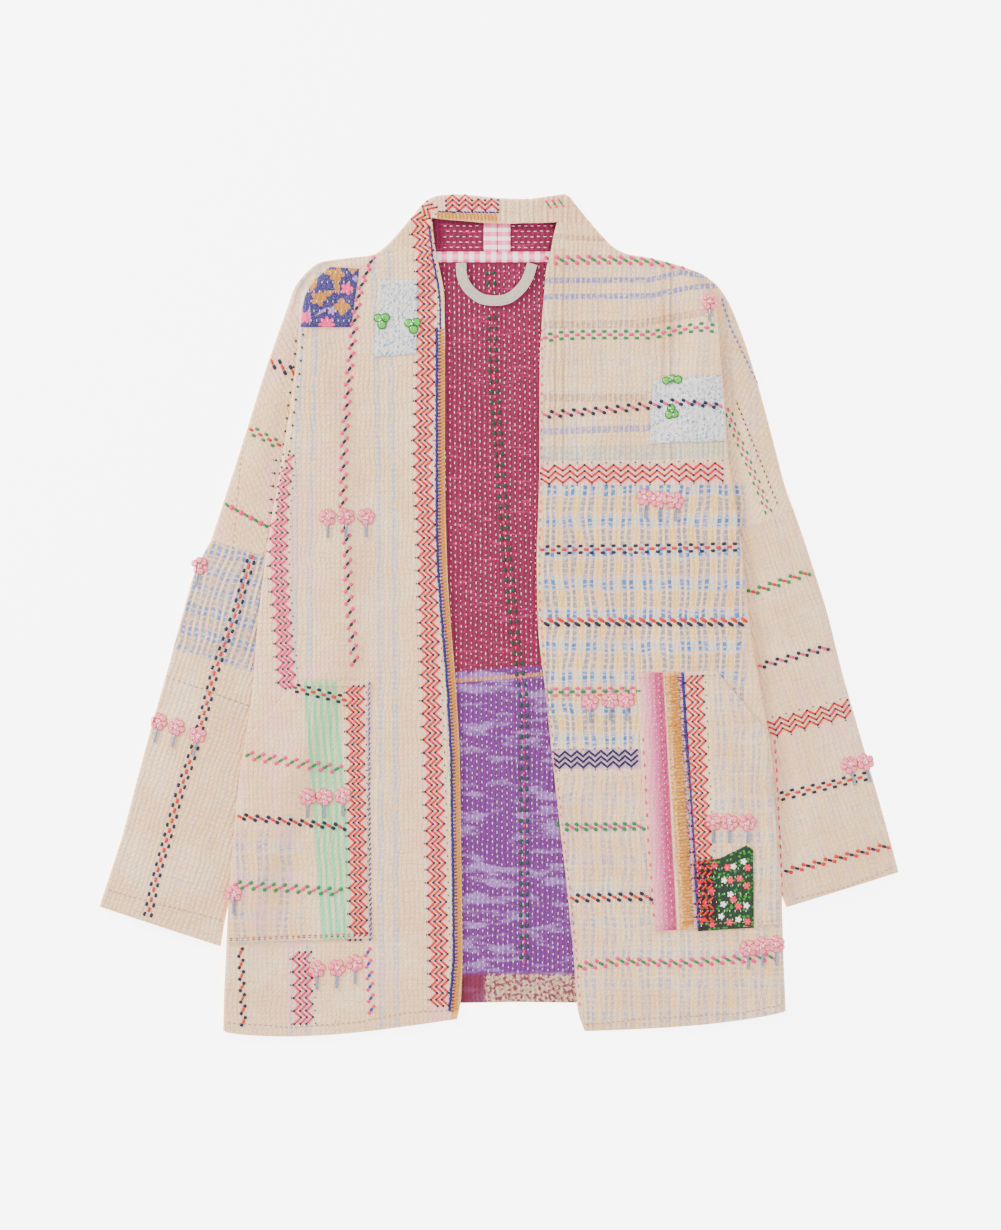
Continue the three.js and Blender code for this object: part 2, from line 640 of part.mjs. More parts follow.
add('right_pocket', appliedGeometry(rightGrid, rightNormals, rightPocketOutline, pocketWall, 0), cream);
add('left_pocket', appliedGeometry(leftGrid, leftNormals, leftPocketOutline, pocketWall, 0), cream);
add('shoulder_patch', appliedGeometry(rightGrid, rightNormals, shoulderPatchOutline, patchWall, 0), floral);
add('neck_patch', appliedGeometry(rightGrid, rightNormals, neckPatchOutline, patchWall, 0), pale);
add('chest_patch', appliedGeometry(leftGrid, leftNormals, chestPatchOutline, patchWall, 0), pale);
add('pocket_patch', appliedGeometry(leftGrid, leftNormals, pocketPatchOutline, patchWall, onPocket), leafGreen);

add('neck_tape', tapeGeometry(neckTape), gingham, onBack);
add('right_collar_tape', tapeGeometry(rightCollarTape), gingham, onBack);
add('left_collar_tape', tapeGeometry(leftCollarTape), gingham, onBack);
add('hanging_loop', loopGeometry(), loopCloth);

export default jacket;
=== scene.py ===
import bmesh
import bpy
import math
import random
import numpy as np
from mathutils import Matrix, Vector
from mathutils.bvhtree import BVHTree


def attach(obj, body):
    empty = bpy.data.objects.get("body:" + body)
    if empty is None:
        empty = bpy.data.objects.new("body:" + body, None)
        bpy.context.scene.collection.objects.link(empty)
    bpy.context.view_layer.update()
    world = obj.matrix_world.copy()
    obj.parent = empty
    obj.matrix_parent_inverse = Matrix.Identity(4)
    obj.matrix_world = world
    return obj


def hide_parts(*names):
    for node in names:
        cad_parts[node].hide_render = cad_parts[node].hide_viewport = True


# a quilted jacket laid flat, built in millimetres and written out in metres
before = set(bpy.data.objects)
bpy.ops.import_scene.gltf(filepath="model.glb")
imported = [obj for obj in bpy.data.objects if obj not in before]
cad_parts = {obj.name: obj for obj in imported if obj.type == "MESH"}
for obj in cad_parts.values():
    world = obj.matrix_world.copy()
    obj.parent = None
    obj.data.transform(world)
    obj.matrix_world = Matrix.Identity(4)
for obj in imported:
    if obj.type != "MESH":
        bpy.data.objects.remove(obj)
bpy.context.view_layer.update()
print("frame loaded")

# the photograph's frame: one pixel is 0.95 mm on the cloth
photo = {"width": 1001, "height": 1230, "pixel": 0.95, "originX": 499.0, "originY": 615.0}


def toPlan(points):
    origin = np.array([photo["originX"], photo["originY"]])
    return (np.asarray(points, float) - origin) * np.array([photo["pixel"], -photo["pixel"]])


def ease(t):
    t = np.clip(t, 0.0, 1.0)
    return t * t * (3 - 2 * t)


def unit(v):
    return v / max(1e-9, float(np.hypot(v[0], v[1])))


# cloth walls, levels and folds, as the frame has them
cloth = {
    "wall": 2.0, "pocketWall": 1.6, "patchWall": 1.0, "tapeWall": 1.0, "gap": 0.3,
    "floorLevel": 1.0, "restLevel": 3.3, "foldRadius": 1.6, "collarRadius": 2.4,
    "collarEdge": 6.8, "neckLift": 3.2, "neckLiftFrom": 300.0, "neckLiftTo": 345.0,
    "riseStart": 38.0, "riseEnd": 4.0, "seamTurn": 4.0, "puff": 2.5, "rimBulge": 0.25,
    "relief": 1.0, "rowStep": 5.0, "onBack": 2.3, "edgeRound": 0.16,
}
# how far from the side seam a turned-under side comes down: distance, share of the way, height
underFall = [(16.0, 0.75, 1.0), (8.0, 0.45, 0.47), (3.5, 0.2, 0.0), (0.0, 0.0, 0.0)]
cells = {"flat": 16, "rise": 12, "crest": 3, "turn": 8, "fallSplit": 3, "arm": 20, "seam": 3, "sleeve": 26}
bodyCount = cells["flat"] + cells["rise"] + cells["crest"] + 1
returnCount = len(underFall) * cells["fallSplit"]
sideColumn = bodyCount - 1 + cells["turn"] + returnCount
fullDrop = 4 * cloth["foldRadius"]

frontColumns = ["edgeX", "edgeY", "foldX", "foldY", "innerX", "innerY", "outX", "outY",
                "drop", "roll", "lift", "bow"]
rayColumns = ["edgeX", "edgeY", "outX", "outY", "neckX", "neckY"]
sleeveColumns = ["outX", "outY", "innerX", "innerY", "cover"]

# rows from neck to hem, and the collar's rays from the shoulder to the centre back
rightFront = {
    "rows": [
        [-59, 339, -113, 340.6, -117, 340.8, -121.5, 341, 0, 2.2, 0, 0],
        [-56, 326, -137.8, 336.3, -142.5, 337.2, -147, 338, 0.6, 1.9, 0, 0],
        [-53, 310.5, -160.5, 331, -165, 332.5, -170, 334.5, 1.5, 1.6, 0, 0],
        [-52, 299, -176.2, 317.8, -181, 319.7, -186, 322, 3, 1.6, 0, 0],
        [-52, 285, -185.3, 303, -189, 305.4, -195, 309, 5, 1.6, 0, 0],
        [-51.5, 266, -189.5, 278.5, -188, 278.5, -200.5, 293.5, fullDrop, 1.6, 0, 0],
        [-51.5, 231, -192, 244, -179.5, 242, -211, 264, fullDrop, 1.6, 0, 0],
        [-51.5, 185, -198, 196.5, -170, 194, -225, 223, fullDrop, 1.6, 0, 0],
        [-51.5, 133, -207, 141.5, -162.5, 138, -240.5, 173, fullDrop, 1.6, 0, 0],
        [-50.5, 81, -217, 84.5, -157, 81, -258.5, 117, fullDrop, 1.6, 0, 0],
        [-49, 36, -223.5, 38, -153, 35.5, -273.5, 71, fullDrop, 1.6, 0, 0],
        [-45.5, -14, -229.5, -14, -151, -16, 0, 0, fullDrop, 0, 7.4, 0],
        [-41, -71, -234.5, -77, -177.5, -81, 0, 0, fullDrop, 0, 7.4, 0],
        [-37.5, -138, -244.5, -139.5, -200.5, -142.5, 0, 0, fullDrop, 0, 7.4, 0],
        [-36.5, -204, -251.5, -206, -221.5, -208, 0, 0, fullDrop, 0, 7.4, 0],
        [-35.5, -271, -256.5, -271, -239.5, -271, 0, 0, fullDrop, 0, 7.4, 0],
        [-35, -328, -259.5, -326, -249, -326, 0, 0, fullDrop, 0, 5.5, 2],
        [-36.5, -366, -261.5, -370.5, -254, -370.5, 0, 0, fullDrop, 0, 2, 6],
        [-40, -383.5, -262, -395, -255, -395, 0, 0, fullDrop, 0, 1, 8.8],
    ],
    "rays": [
        [-61.5, 353.5, -109, 348.5, -101.5, 338.5],
        [-63, 367.5, -97, 361, -84.5, 338],
        [-64, 377, -81.5, 379.5, -67.5, 338.5],
        [-56, 376, -71, 392, -56, 339],
        [-46.5, 375, -60, 398, -44.5, 339.5],
        [-33, 374, -42, 399.5, -31.5, 339.5],
        [-18, 372.5, -20, 398, -16, 340],
        [-1.15, 371.5, -1.15, 396, -1.15, 340],
    ],
    "node": "right_front", "side": 1, "seed": 3,
}
leftFront = {
    "rows": [
        [48.5, 341, 114, 341.5, 118.3, 341.7, 122.5, 342, 0, 2.2, 0, 0],
        [45, 328, 134, 336.3, 138.7, 337.3, 143.5, 338.5, 0.6, 1.9, 0, 0],
        [43.5, 311.5, 158.7, 328.7, 163.4, 330.6, 168, 332.5, 1.5, 1.6, 0, 0],
        [42.5, 299, 183.4, 318.3, 188.1, 320.6, 193, 323.5, 3, 1.6, 0, 0],
        [41.5, 287, 198.3, 304.5, 202, 307.5, 208, 312, 5, 1.6, 0, 0],
        [40.5, 272.5, 206, 290, 205, 290, 216.5, 300, fullDrop, 1.6, 0, 0],
        [39, 240.5, 209.5, 252, 199.5, 250, 229.5, 270, fullDrop, 1.6, 0, 0],
        [38.5, 193, 214, 200.5, 191, 197.5, 244.5, 224, fullDrop, 1.6, 0, 0],
        [38.5, 147, 218, 149, 179.5, 145.5, 259.5, 169, fullDrop, 1.6, 0, 0],
        [37.5, 100, 225, 101.5, 166, 96, 272.5, 119.5, fullDrop, 1.6, 0, 0],
        [36, 56, 231, 61, 154, 55, 280, 99.5, fullDrop, 1.6, 0, 0],
        [37, -5, 237.5, -5, 162, -6.5, 0, 0, fullDrop, 0, 7.4, 0],
        [44.5, -75, 248.5, -71, 195, -73, 0, 0, fullDrop, 0, 7.4, 0],
        [51.5, -142.5, 259.5, -142.5, 215.5, -144.5, 0, 0, fullDrop, 0, 7.4, 0],
        [58, -199.5, 263.5, -202.5, 232, -203.5, 0, 0, fullDrop, 0, 7.4, 0],
        [64.5, -256.5, 268, -259.5, 249, -259.5, 0, 0, fullDrop, 0, 7.4, 0],
        [71, -323, 270, -323, 260, -323, 0, 0, fullDrop, 0, 5.5, 1],
        [75, -375, 272, -366, 264.5, -366, 0, 0, fullDrop, 0, 2, 3],
        [81.5, -395, 272.5, -376, 265.5, -376, 0, 0, fullDrop, 0, 1, 5],
    ],
    "rays": [
        [51, 354.5, 108.5, 349, 101.5, 339],
        [53, 364, 95, 363, 84.5, 338],
        [55.5, 373, 81.5, 379, 67.5, 338.5],
        [46.5, 372.5, 72, 391, 54, 339],
        [37, 372, 63.5, 399.5, 43.5, 339.5],
        [24.5, 372, 47.5, 397.5, 30.5, 339.5],
        [11.5, 371.5, 24.5, 395, 15, 340],
        [-0.85, 371.5, -0.85, 396, -0.85, 340],
    ],
    "node": "left_front", "side": -1, "seed": 7,
}
rightSleeve = {
    "sections": [
        [-289, 41, -175, 3, 0.45], [-300, 3, -186, -35, 0.36], [-314.5, -50.5, -204, -86.5, 0.27],
        [-329.5, -103.5, -220.5, -139.5, 0.19], [-344, -157, -234.5, -193, 0.12],
        [-358, -210, -248, -244, 0.05], [-371.5, -252, -259.4, -287, 0], [-379.5, -276.5, -264, -314.5, 0],
    ],
    "node": "right_sleeve", "side": -1, "seed": 11,
}
leftSleeve = {
    "sections": [
        [290.5, 69.5, 178, 24, 0.5], [299, 43, 190, -6.5, 0.43], [311.5, 3, 203.5, -46.5, 0.35],
        [325, -50.5, 218.5, -96, 0.3], [340, -103.5, 233, -145.5, 0.24],
        [355.5, -157, 246, -196.5, 0.15], [370.5, -210, 259.5, -244, 0.065], [379.5, -244, 272.6, -277.5, 0],
    ],
    "node": "left_sleeve", "side": 1, "seed": 13,
}


def named(columns, rows):
    return [dict(zip(columns, row)) for row in rows]


def swell(x, y, seed, short=24.0, long=90.0, waves=16):
    # a soft uneven relief from 0 to 1, the sum of long and short waves in all directions
    rng = random.Random(seed)
    total = np.zeros_like(x)
    for _ in range(waves):
        length = rng.uniform(short, long)
        angle = rng.uniform(0, math.pi)
        phase = rng.uniform(0, 2 * math.pi)
        total += np.sin((x * math.cos(angle) + y * math.sin(angle)) * 2 * math.pi / length + phase)
    return np.clip(0.5 + total / math.sqrt(2 * waves) / 2.4, 0.0, 1.0)


def puffOf(share, cover, width):
    size = min(1.0, max(0.0, (width - 20) / 60))
    return cloth["puff"] * size * ease((share - cover - 0.06) / 0.25) * ease((1 - share) / 0.3)


def bodyPart(bow, edge, fold, overlap, edgeLevel, topLevel, inset):
    width = float(np.hypot(*(fold - edge)))
    rise = min(overlap + cloth["riseStart"], 0.75 * width)
    crest = min(overlap + cloth["riseEnd"], 0.35 * width)
    away = np.concatenate([
        np.linspace(width, rise, cells["flat"], endpoint=False),
        np.linspace(rise, crest, cells["rise"], endpoint=False),
        np.linspace(crest, inset, cells["crest"] + 1),
    ])
    share = away / width
    plan = fold + (edge - fold) * share[:, None]
    plan[:, 1] -= bow * np.sin(np.pi * share ** 0.75)
    z = edgeLevel + (topLevel - edgeLevel) * ease((rise - away) / (rise - crest))
    return np.column_stack([plan, z])


def pleatSizes(span, drop):
    # the folds' radius and angle, the straight between the two folds, and the arc of each
    radius = drop / 4
    angle = 2 * math.atan2(2 * radius, span) if span > 0 else math.pi
    return radius, angle, abs(span), radius * angle


def pleatAt(length, span, drop):
    # the pleat from the side: down, back or on, and level again
    radius, angle, straight, arc = pleatSizes(span, drop)
    if length < arc:
        turned = length / radius
        return radius * math.sin(turned), radius * (1 - math.cos(turned))
    if length > arc + straight and radius > 0:
        left = (2 * arc + straight - length) / radius
        return span - radius * math.sin(left), drop - radius * (1 - math.cos(left))
    along = length - arc
    return (radius * math.sin(angle) + along * math.cos(angle),
            radius * (1 - math.cos(angle)) + along * math.sin(angle))


def split(stations, parts):
    # each step from one station to the next in equal parts
    out = []
    for a, b in zip(stations[:-1], stations[1:]):
        out += [a + (b - a) * k / parts for k in range(1, parts + 1)]
    return out


def pleatStations(span, drop):
    _, _, straight, arc = pleatSizes(span, drop)
    total = 2 * arc + straight
    ends = [arc] + [arc + straight - min(far, share * straight) for far, share, _ in underFall]
    stations = [arc * k / cells["turn"] for k in range(1, cells["turn"] + 1)]
    stations += split(ends, cells["fallSplit"])
    stations += [arc + straight + arc * k / cells["turn"] for k in range(1, cells["turn"] + 1)]
    shallow = 1 - float(ease(drop / 5))
    count = len(stations)
    return [s + (total * (k + 1) / count - s) * shallow for k, s in enumerate(stations)], total


def halfTurn(centre, way, radius, level, first=1, lean=1):
    # a round fold from its top down to the level, or with lean -1 from the level up
    points = []
    for k in range(first, first + cells["turn"]):
        turned = math.pi * k / cells["turn"]
        points.append([*(centre + way * radius * math.sin(turned)),
                       level + radius * (1 + lean * math.cos(turned))])
    return points


def armPart(start, out, seam, level, roll, cover, flange):
    outward = unit(out - start)
    centre = out - outward * (roll + cloth["wall"] / 2)
    width = float(np.hypot(*(centre - start)))
    points = []
    for k in range(1, cells["arm"] + 1):
        share = k / cells["arm"]
        rise = 0.0 if flange else float(puffOf(share, cover, width))
        points.append([*(start + (centre - start) * share), level + rise])
    points += halfTurn(centre, outward, roll, cloth["floorLevel"])
    end = centre - outward * cloth["seamTurn"] if seam is None else seam
    for k in range(1, cells["seam"] + 1):
        points.append([*(centre + (end - centre) * k / cells["seam"]), cloth["floorLevel"]])
    return points


def corners(row, *names):
    return [np.array([row[name + "X"], row[name + "Y"]], float) for name in names]


def shoulderRow(row):
    edge, fold, inner, out = corners(row, "edge", "fold", "inner", "out")
    outward = unit(fold - edge)
    radius = row["drop"] / 4
    overlap = max(0.0, float(np.dot(fold - inner, outward)))
    inset = radius + cloth["wall"] / 2
    start = fold - outward * inset
    end = inner + (unit(out - inner) * inset if overlap > 0 else 0)
    span = float(np.dot(end - start, outward))
    aside = end - start - outward * span
    level = cloth["floorLevel"] + 2 * row["roll"]
    top = level + row["drop"]
    lift = float(ease((row["edgeY"] - cloth["neckLiftFrom"]) / (cloth["neckLiftTo"] - cloth["neckLiftFrom"])))
    edgeLevel = cloth["restLevel"] + cloth["neckLift"] * lift
    body = bodyPart(row["bow"], edge, fold, overlap, edgeLevel, top, inset)
    points = []
    stations, total = pleatStations(span, row["drop"])
    for station in stations:
        run, fall = pleatAt(station, span, row["drop"])
        points.append([*(start + outward * run + aside * station / total), top - fall])
    cover = overlap / float(np.hypot(*(out - end)))
    points += armPart(end, out, None, level, row["roll"], cover, False)
    return np.vstack([body, points])


def sideRow(row):
    edge, fold, seam = corners(row, "edge", "fold", "inner")
    outward = unit(fold - edge)
    overlap = float(np.hypot(*(fold - seam)))
    radius = cloth["foldRadius"]
    inset = radius + cloth["wall"] / 2
    body = bodyPart(row["bow"], edge, fold, overlap, cloth["restLevel"], row["lift"] + 2 * radius, inset)
    centre = fold - outward * inset
    points = halfTurn(centre, outward, radius, row["lift"])
    under = float(np.hypot(*(seam - centre)))
    ends = [np.array([*centre, row["lift"]])]
    for far, share, height in underFall:
        away = min(far, share * under)
        ends.append(np.array([*(seam + (centre - seam) * away / under),
                              cloth["floorLevel"] + (row["lift"] - cloth["floorLevel"]) * height]))
    points += split(ends, cells["fallSplit"])
    return np.vstack([body, points])


def collarRay(row):
    edge, out, neck = corners(row, "edge", "out", "neck")
    fold, inner = edge + (out - edge) * 0.45, edge + (out - edge) * 0.7
    level = cloth["floorLevel"] + 2 * cloth["collarRadius"]
    body = bodyPart(0, edge, fold, 0, cloth["collarEdge"], level, cloth["wall"] / 2)
    start, end = body[-1], np.array([*inner, level])
    steps = 2 * cells["turn"] + returnCount
    points = [start + (end - start) * k / steps for k in range(1, steps + 1)]
    points += armPart(inner, out, neck, level, cloth["collarRadius"], 0, True)
    return np.vstack([body, points])


def rowShares(stack, spacing):
    # where the closer rows lie between the given ones
    shares = [(0, 0.0)]
    for k in range(len(stack) - 1):
        reach = float(np.median(np.linalg.norm(stack[k + 1] - stack[k], axis=1)))
        parts = max(1, int(math.ceil(reach / spacing)))
        shares += [(k, n / parts) for n in range(1, parts + 1)]
    return shares


def closerRows(stack, shares):
    # smooth curves through the rows that never overshoot
    steps = np.diff(stack, axis=0)
    before, after = steps[:-1], steps[1:]
    same = before * after > 0
    slope = np.zeros_like(stack)
    slope[1:-1][same] = (2 * before[same] * after[same]) / (before[same] + after[same])
    slope[0], slope[-1] = steps[0], steps[-1]
    out = []
    for k, t in shares:
        n = min(k + 1, len(stack) - 1)
        fromHere, toNext = 2 * t**3 - 3 * t**2 + 1, -2 * t**3 + 3 * t**2
        leaving, arriving = t**3 - 2 * t**2 + t, t**3 - t**2
        out.append(fromHere * stack[k] + leaving * slope[k] + toNext * stack[n] + arriving * slope[n])
    return np.array(out)


def gridNormals(grid, closed, side):
    down = np.zeros_like(grid)
    down[1:-1] = grid[2:] - grid[:-2]
    down[0], down[-1] = grid[1] - grid[0], grid[-1] - grid[-2]
    across = np.zeros_like(grid)
    if closed:
        across = np.roll(grid, -1, axis=1) - np.roll(grid, 1, axis=1)
    else:
        across[:, 1:-1] = grid[:, 2:] - grid[:, :-2]
        across[:, 0], across[:, -1] = grid[:, 1] - grid[:, 0], grid[:, -1] - grid[:, -2]
    normal = np.cross(across, down) * side
    return normal / np.maximum(1e-9, np.linalg.norm(normal, axis=2, keepdims=True))


# every cloth face, kept for seating stitches on the topmost cloth
seats = {"points": [], "faces": [], "tree": None}


def keepSeat(points, faces):
    base = len(seats["points"])
    seats["points"] += np.asarray(points).tolist()
    seats["faces"] += [tuple(v + base for v in face) for face in faces]
    seats["tree"] = None


def seatAt(x, y):
    if seats["tree"] is None:
        seats["tree"] = BVHTree.FromPolygons(seats["points"], seats["faces"])
    # two rays side by side, in case one slips between two faces
    down = Vector((0, 0, -1))
    rays = [seats["tree"].ray_cast(Vector((x + shift, y + shift, 60.0)), down) for shift in (0, 0.05)]
    rays = [ray for ray in rays if ray[0] is not None]
    if not rays:
        return None
    hit, normal = max(rays, key=lambda ray: ray[0].z)[:2]
    return np.array(hit), np.array(normal if normal.z > 0 else -normal)


def finishPiece(name, points, faces, materials, slots, node=None):
    mesh = bpy.data.meshes.new(name)
    mesh.from_pydata((np.asarray(points, float) / 1000.0).tolist(), [], faces)
    for material in materials:
        mesh.materials.append(material)
    mesh.polygons.foreach_set("material_index", np.asarray(slots, dtype=np.int32))
    mesh.polygons.foreach_set("use_smooth", np.ones(len(mesh.polygons), bool))
    piece = bpy.data.objects.new(name, mesh)
    bpy.context.scene.collection.objects.link(piece)
    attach(piece, "root")
    if node:
        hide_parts(node)
    return piece


def layCloth(mesh, plane):
    # flat places on the cloth, in tenths of a metre, for its weave and quilting
    layer = mesh.uv_layers.new(name="cloth")
    corner = np.zeros(len(mesh.loops), dtype=np.int32)
    mesh.loops.foreach_get("vertex_index", corner)
    layer.data.foreach_set("uv", (plane[corner] / 100.0).astype(np.float32).ravel())


def rimOf(middle, edges, aim, first):
    # points just outside an open edge, numbered on from the first, one for each point along it
    outward = {}
    for a, b in edges:
        way = np.cross(middle[b] - middle[a], aim[a])
        way /= max(1e-9, np.linalg.norm(way))
        outward.setdefault(a, []).append(way)
        outward.setdefault(b, []).append(way)
    rim, points = {}, []
    for a, ways in outward.items():
        way = np.mean(ways, axis=0)
        rim[a] = first + len(points)
        points.append(middle[a] + way / max(1e-9, np.linalg.norm(way)) * cloth["rimBulge"])
    return rim, np.array(points).reshape(-1, 3)


def sheetPiece(name, grid, normals, thickness, materials, node=None, keep=None,
               closed=False, plane=None):
    # a closed sheet round its middle surface: slot 0 outside, slot 1 inside, slot 2 the rim
    rows, columns = grid.shape[:2]
    cellColumns = columns if closed else columns - 1
    keep = np.ones((rows - 1, cellColumns), bool) if keep is None else keep
    half = thickness / 2
    over, under = grid + normals * half, grid - normals * half
    over[..., 2], under[..., 2] = np.maximum(0, over[..., 2]), np.maximum(0, under[..., 2])
    number = np.arange(rows * columns).reshape(rows, columns)
    i, j = np.nonzero(keep)
    jn = (j + 1) % columns
    quads = np.column_stack([number[i, j], number[i + 1, j], number[i + 1, jn], number[i, jn]]).tolist()
    edges = {}
    for quad in quads:
        for e in zip(quad, quad[1:] + quad[:1]):
            if (e[1], e[0]) in edges:
                del edges[(e[1], e[0])]
            else:
                edges[e] = True
    middle, aim = grid.reshape(-1, 3), normals.reshape(-1, 3)
    a, b, _, d = quads[len(quads) // 2]
    straight = np.dot(np.cross(middle[b] - middle[a], middle[d] - middle[a]), aim[a]) > 0
    total = rows * columns
    rim, rimPoints = rimOf(middle, edges, aim if straight else -aim, 2 * total)
    rimPoints[:, 2] = np.maximum(0, rimPoints[:, 2])
    allPoints = np.vstack([over.reshape(-1, 3), under.reshape(-1, 3), rimPoints])
    faces, slots = [], []
    for a, b, c, d in quads:
        faces += [(a, b, c, d), (d + total, c + total, b + total, a + total)]
        slots += [0, 1]
    for a, b in edges:
        faces += [(b, a, rim[a], rim[b]), (rim[b], rim[a], a + total, b + total)]
        slots += [2, 2]
    if not straight:
        faces = [f[::-1] for f in faces]
    used = np.zeros(len(allPoints), bool)
    used[np.unique(np.array(faces))] = True
    renumber = np.cumsum(used) - 1
    faces = renumber[np.array(faces)].tolist()
    source = np.concatenate([np.arange(total), np.arange(total), np.array(list(rim), dtype=int)])[used]
    piece = finishPiece(name, allPoints[used], faces, materials, slots, node)
    plane = grid[..., :2] if plane is None else plane
    layCloth(piece.data, plane.reshape(-1, 2)[source])
    piece.data.set_sharp_from_angle(angle=math.radians(62))
    keepSeat(allPoints[used], faces)
    return piece


class Finish:
    # one material's nodes, with short ways to add to them
    def __init__(self, name, roughness=0.9, sheen=0.05):
        self.material = bpy.data.materials.new(name)
        self.material.use_nodes = True
        self.tree = self.material.node_tree
        self.tree.nodes.clear()
        self.shader = self.tree.nodes.new("ShaderNodeBsdfPrincipled")
        out = self.tree.nodes.new("ShaderNodeOutputMaterial")
        self.tree.links.new(self.shader.outputs[0], out.inputs[0])
        self.shader.inputs["Roughness"].default_value = roughness
        self.shader.inputs["Sheen Weight"].default_value = sheen
        self.shader.inputs["Sheen Roughness"].default_value = 0.5

    def put(self, socket, value):
        if isinstance(value, bpy.types.NodeSocket):
            self.tree.links.new(value, socket)
        else:
            socket.default_value = value

    def calc(self, operation, a, b=None, c=None):
        node = self.tree.nodes.new("ShaderNodeMath")
        node.operation = operation
        for socket, value in zip(node.inputs, (a, b, c)):
            if value is not None:
                self.put(socket, value)
        return node.outputs[0]

    def plus(self, a, b):
        return self.calc("ADD", a, b)

    def less(self, a, b):
        return self.calc("SUBTRACT", a, b)

    def times(self, a, b):
        return self.calc("MULTIPLY", a, b)

    def span(self, value, low, high, newLow=0.0, newHigh=1.0, kind="SMOOTHSTEP"):
        node = self.tree.nodes.new("ShaderNodeMapRange")
        node.interpolation_type = kind
        for socket, v in zip(node.inputs, (value, low, high, newLow, newHigh)):
            self.put(socket, v)
        return node.outputs[0]

    def mix(self, share, under, over, kind="MIX"):
        node = self.tree.nodes.new("ShaderNodeMix")
        node.data_type, node.blend_type = "RGBA", kind
        self.put(node.inputs[0], share)
        self.put(node.inputs[6], under)
        self.put(node.inputs[7], over)
        return node.outputs[2]

    def plane(self):
        node = self.tree.nodes.new("ShaderNodeUVMap")
        node.uv_map = "cloth"
        parts = self.tree.nodes.new("ShaderNodeSeparateXYZ")
        self.tree.links.new(node.outputs[0], parts.inputs[0])
        return self.times(parts.outputs[0], 100.0), self.times(parts.outputs[1], 100.0)

    def place(self):
        # plan position, counted in the photograph's pixels
        node = self.tree.nodes.new("ShaderNodeTexCoord")
        parts = self.tree.nodes.new("ShaderNodeSeparateXYZ")
        self.tree.links.new(node.outputs["Object"], parts.inputs[0])
        scale = 1000.0 / photo["pixel"]
        return (self.calc("MULTIPLY_ADD", parts.outputs[0], scale, photo["originX"]),
                self.calc("MULTIPLY_ADD", parts.outputs[1], -scale, photo["originY"]))

    def noise(self, x, y, scale, detail=2.0, seed=0.0):
        at = self.tree.nodes.new("ShaderNodeCombineXYZ")
        for socket, v in zip(at.inputs, (x, y, seed)):
            self.put(socket, v)
        node = self.tree.nodes.new("ShaderNodeTexNoise")
        self.tree.links.new(at.outputs[0], node.inputs["Vector"])
        node.inputs["Scale"].default_value = scale
        node.inputs["Detail"].default_value = detail
        return node.outputs[0]

    def spots(self, x, y, size, reach, jitter=0.85):
        # round spots at scattered places: their mask, and a random number for each
        at = self.tree.nodes.new("ShaderNodeCombineXYZ")
        self.put(at.inputs[0], self.calc("DIVIDE", x, size))
        self.put(at.inputs[1], self.calc("DIVIDE", y, size))
        node = self.tree.nodes.new("ShaderNodeTexVoronoi")
        node.voronoi_dimensions = "2D"
        self.tree.links.new(at.outputs[0], node.inputs["Vector"])
        node.inputs["Randomness"].default_value = jitter
        node.inputs["Scale"].default_value = 1.0
        pick = self.tree.nodes.new("ShaderNodeSeparateColor")
        self.tree.links.new(node.outputs["Color"], pick.inputs[0])
        return self.span(node.outputs["Distance"], reach, reach + 0.08, 1.0, 0.0), pick.outputs[0]

    def band(self, away, half, soft=0.8):
        return self.span(self.calc("ABSOLUTE", away), half, half + soft, 1.0, 0.0)

    def within(self, value, low, high, soft=3.0):
        return self.times(self.span(value, low - soft, low), self.span(value, high, high + soft, 1.0, 0.0))

    def course(self, along, points):
        # a line that bends at a few points: its place across for each place along
        (start, place), rest = points[0], points[1:]
        total = place
        for nextStart, nextPlace in rest:
            step = self.span(along, start, nextStart, 0.0, nextPlace - place, "LINEAR")
            total = self.plus(total, step)
            start, place = nextStart, nextPlace
        return total

    def repeat(self, value, period, phase=0.0):
        # distance from the nearest of many even lines
        turned = self.calc("FRACT", self.plus(self.calc("DIVIDE", self.less(value, phase), period), 0.5))
        return self.times(self.less(turned, 0.5), period)

    def colour(self, value):
        self.put(self.shader.inputs["Base Color"], value)

    def bump(self, height, distance, strength=1.0):
        node = self.tree.nodes.new("ShaderNodeBump")
        node.inputs["Strength"].default_value = strength
        node.inputs["Distance"].default_value = distance
        self.put(node.inputs["Height"], height)
        self.tree.links.new(node.outputs[0], self.shader.inputs["Normal"])


dyeing = {"strength": 1.5, "depth": 1.35}


def dye(code):
    # a written colour as linear light, made deeper and stronger, for the picture's soft film curve
    parts = [int(code[k:k + 2], 16) / 255 for k in (0, 2, 4)]
    light = [c / 12.92 if c < 0.04045 else ((c + 0.055) / 1.055) ** 2.4 for c in parts]
    grey = 0.3 * light[0] + 0.55 * light[1] + 0.15 * light[2]
    strong = [min(0.97, max(0.004, grey + (c - grey) * dyeing["strength"])) for c in light]
    return tuple(c ** dyeing["depth"] for c in strong) + (1.0,)


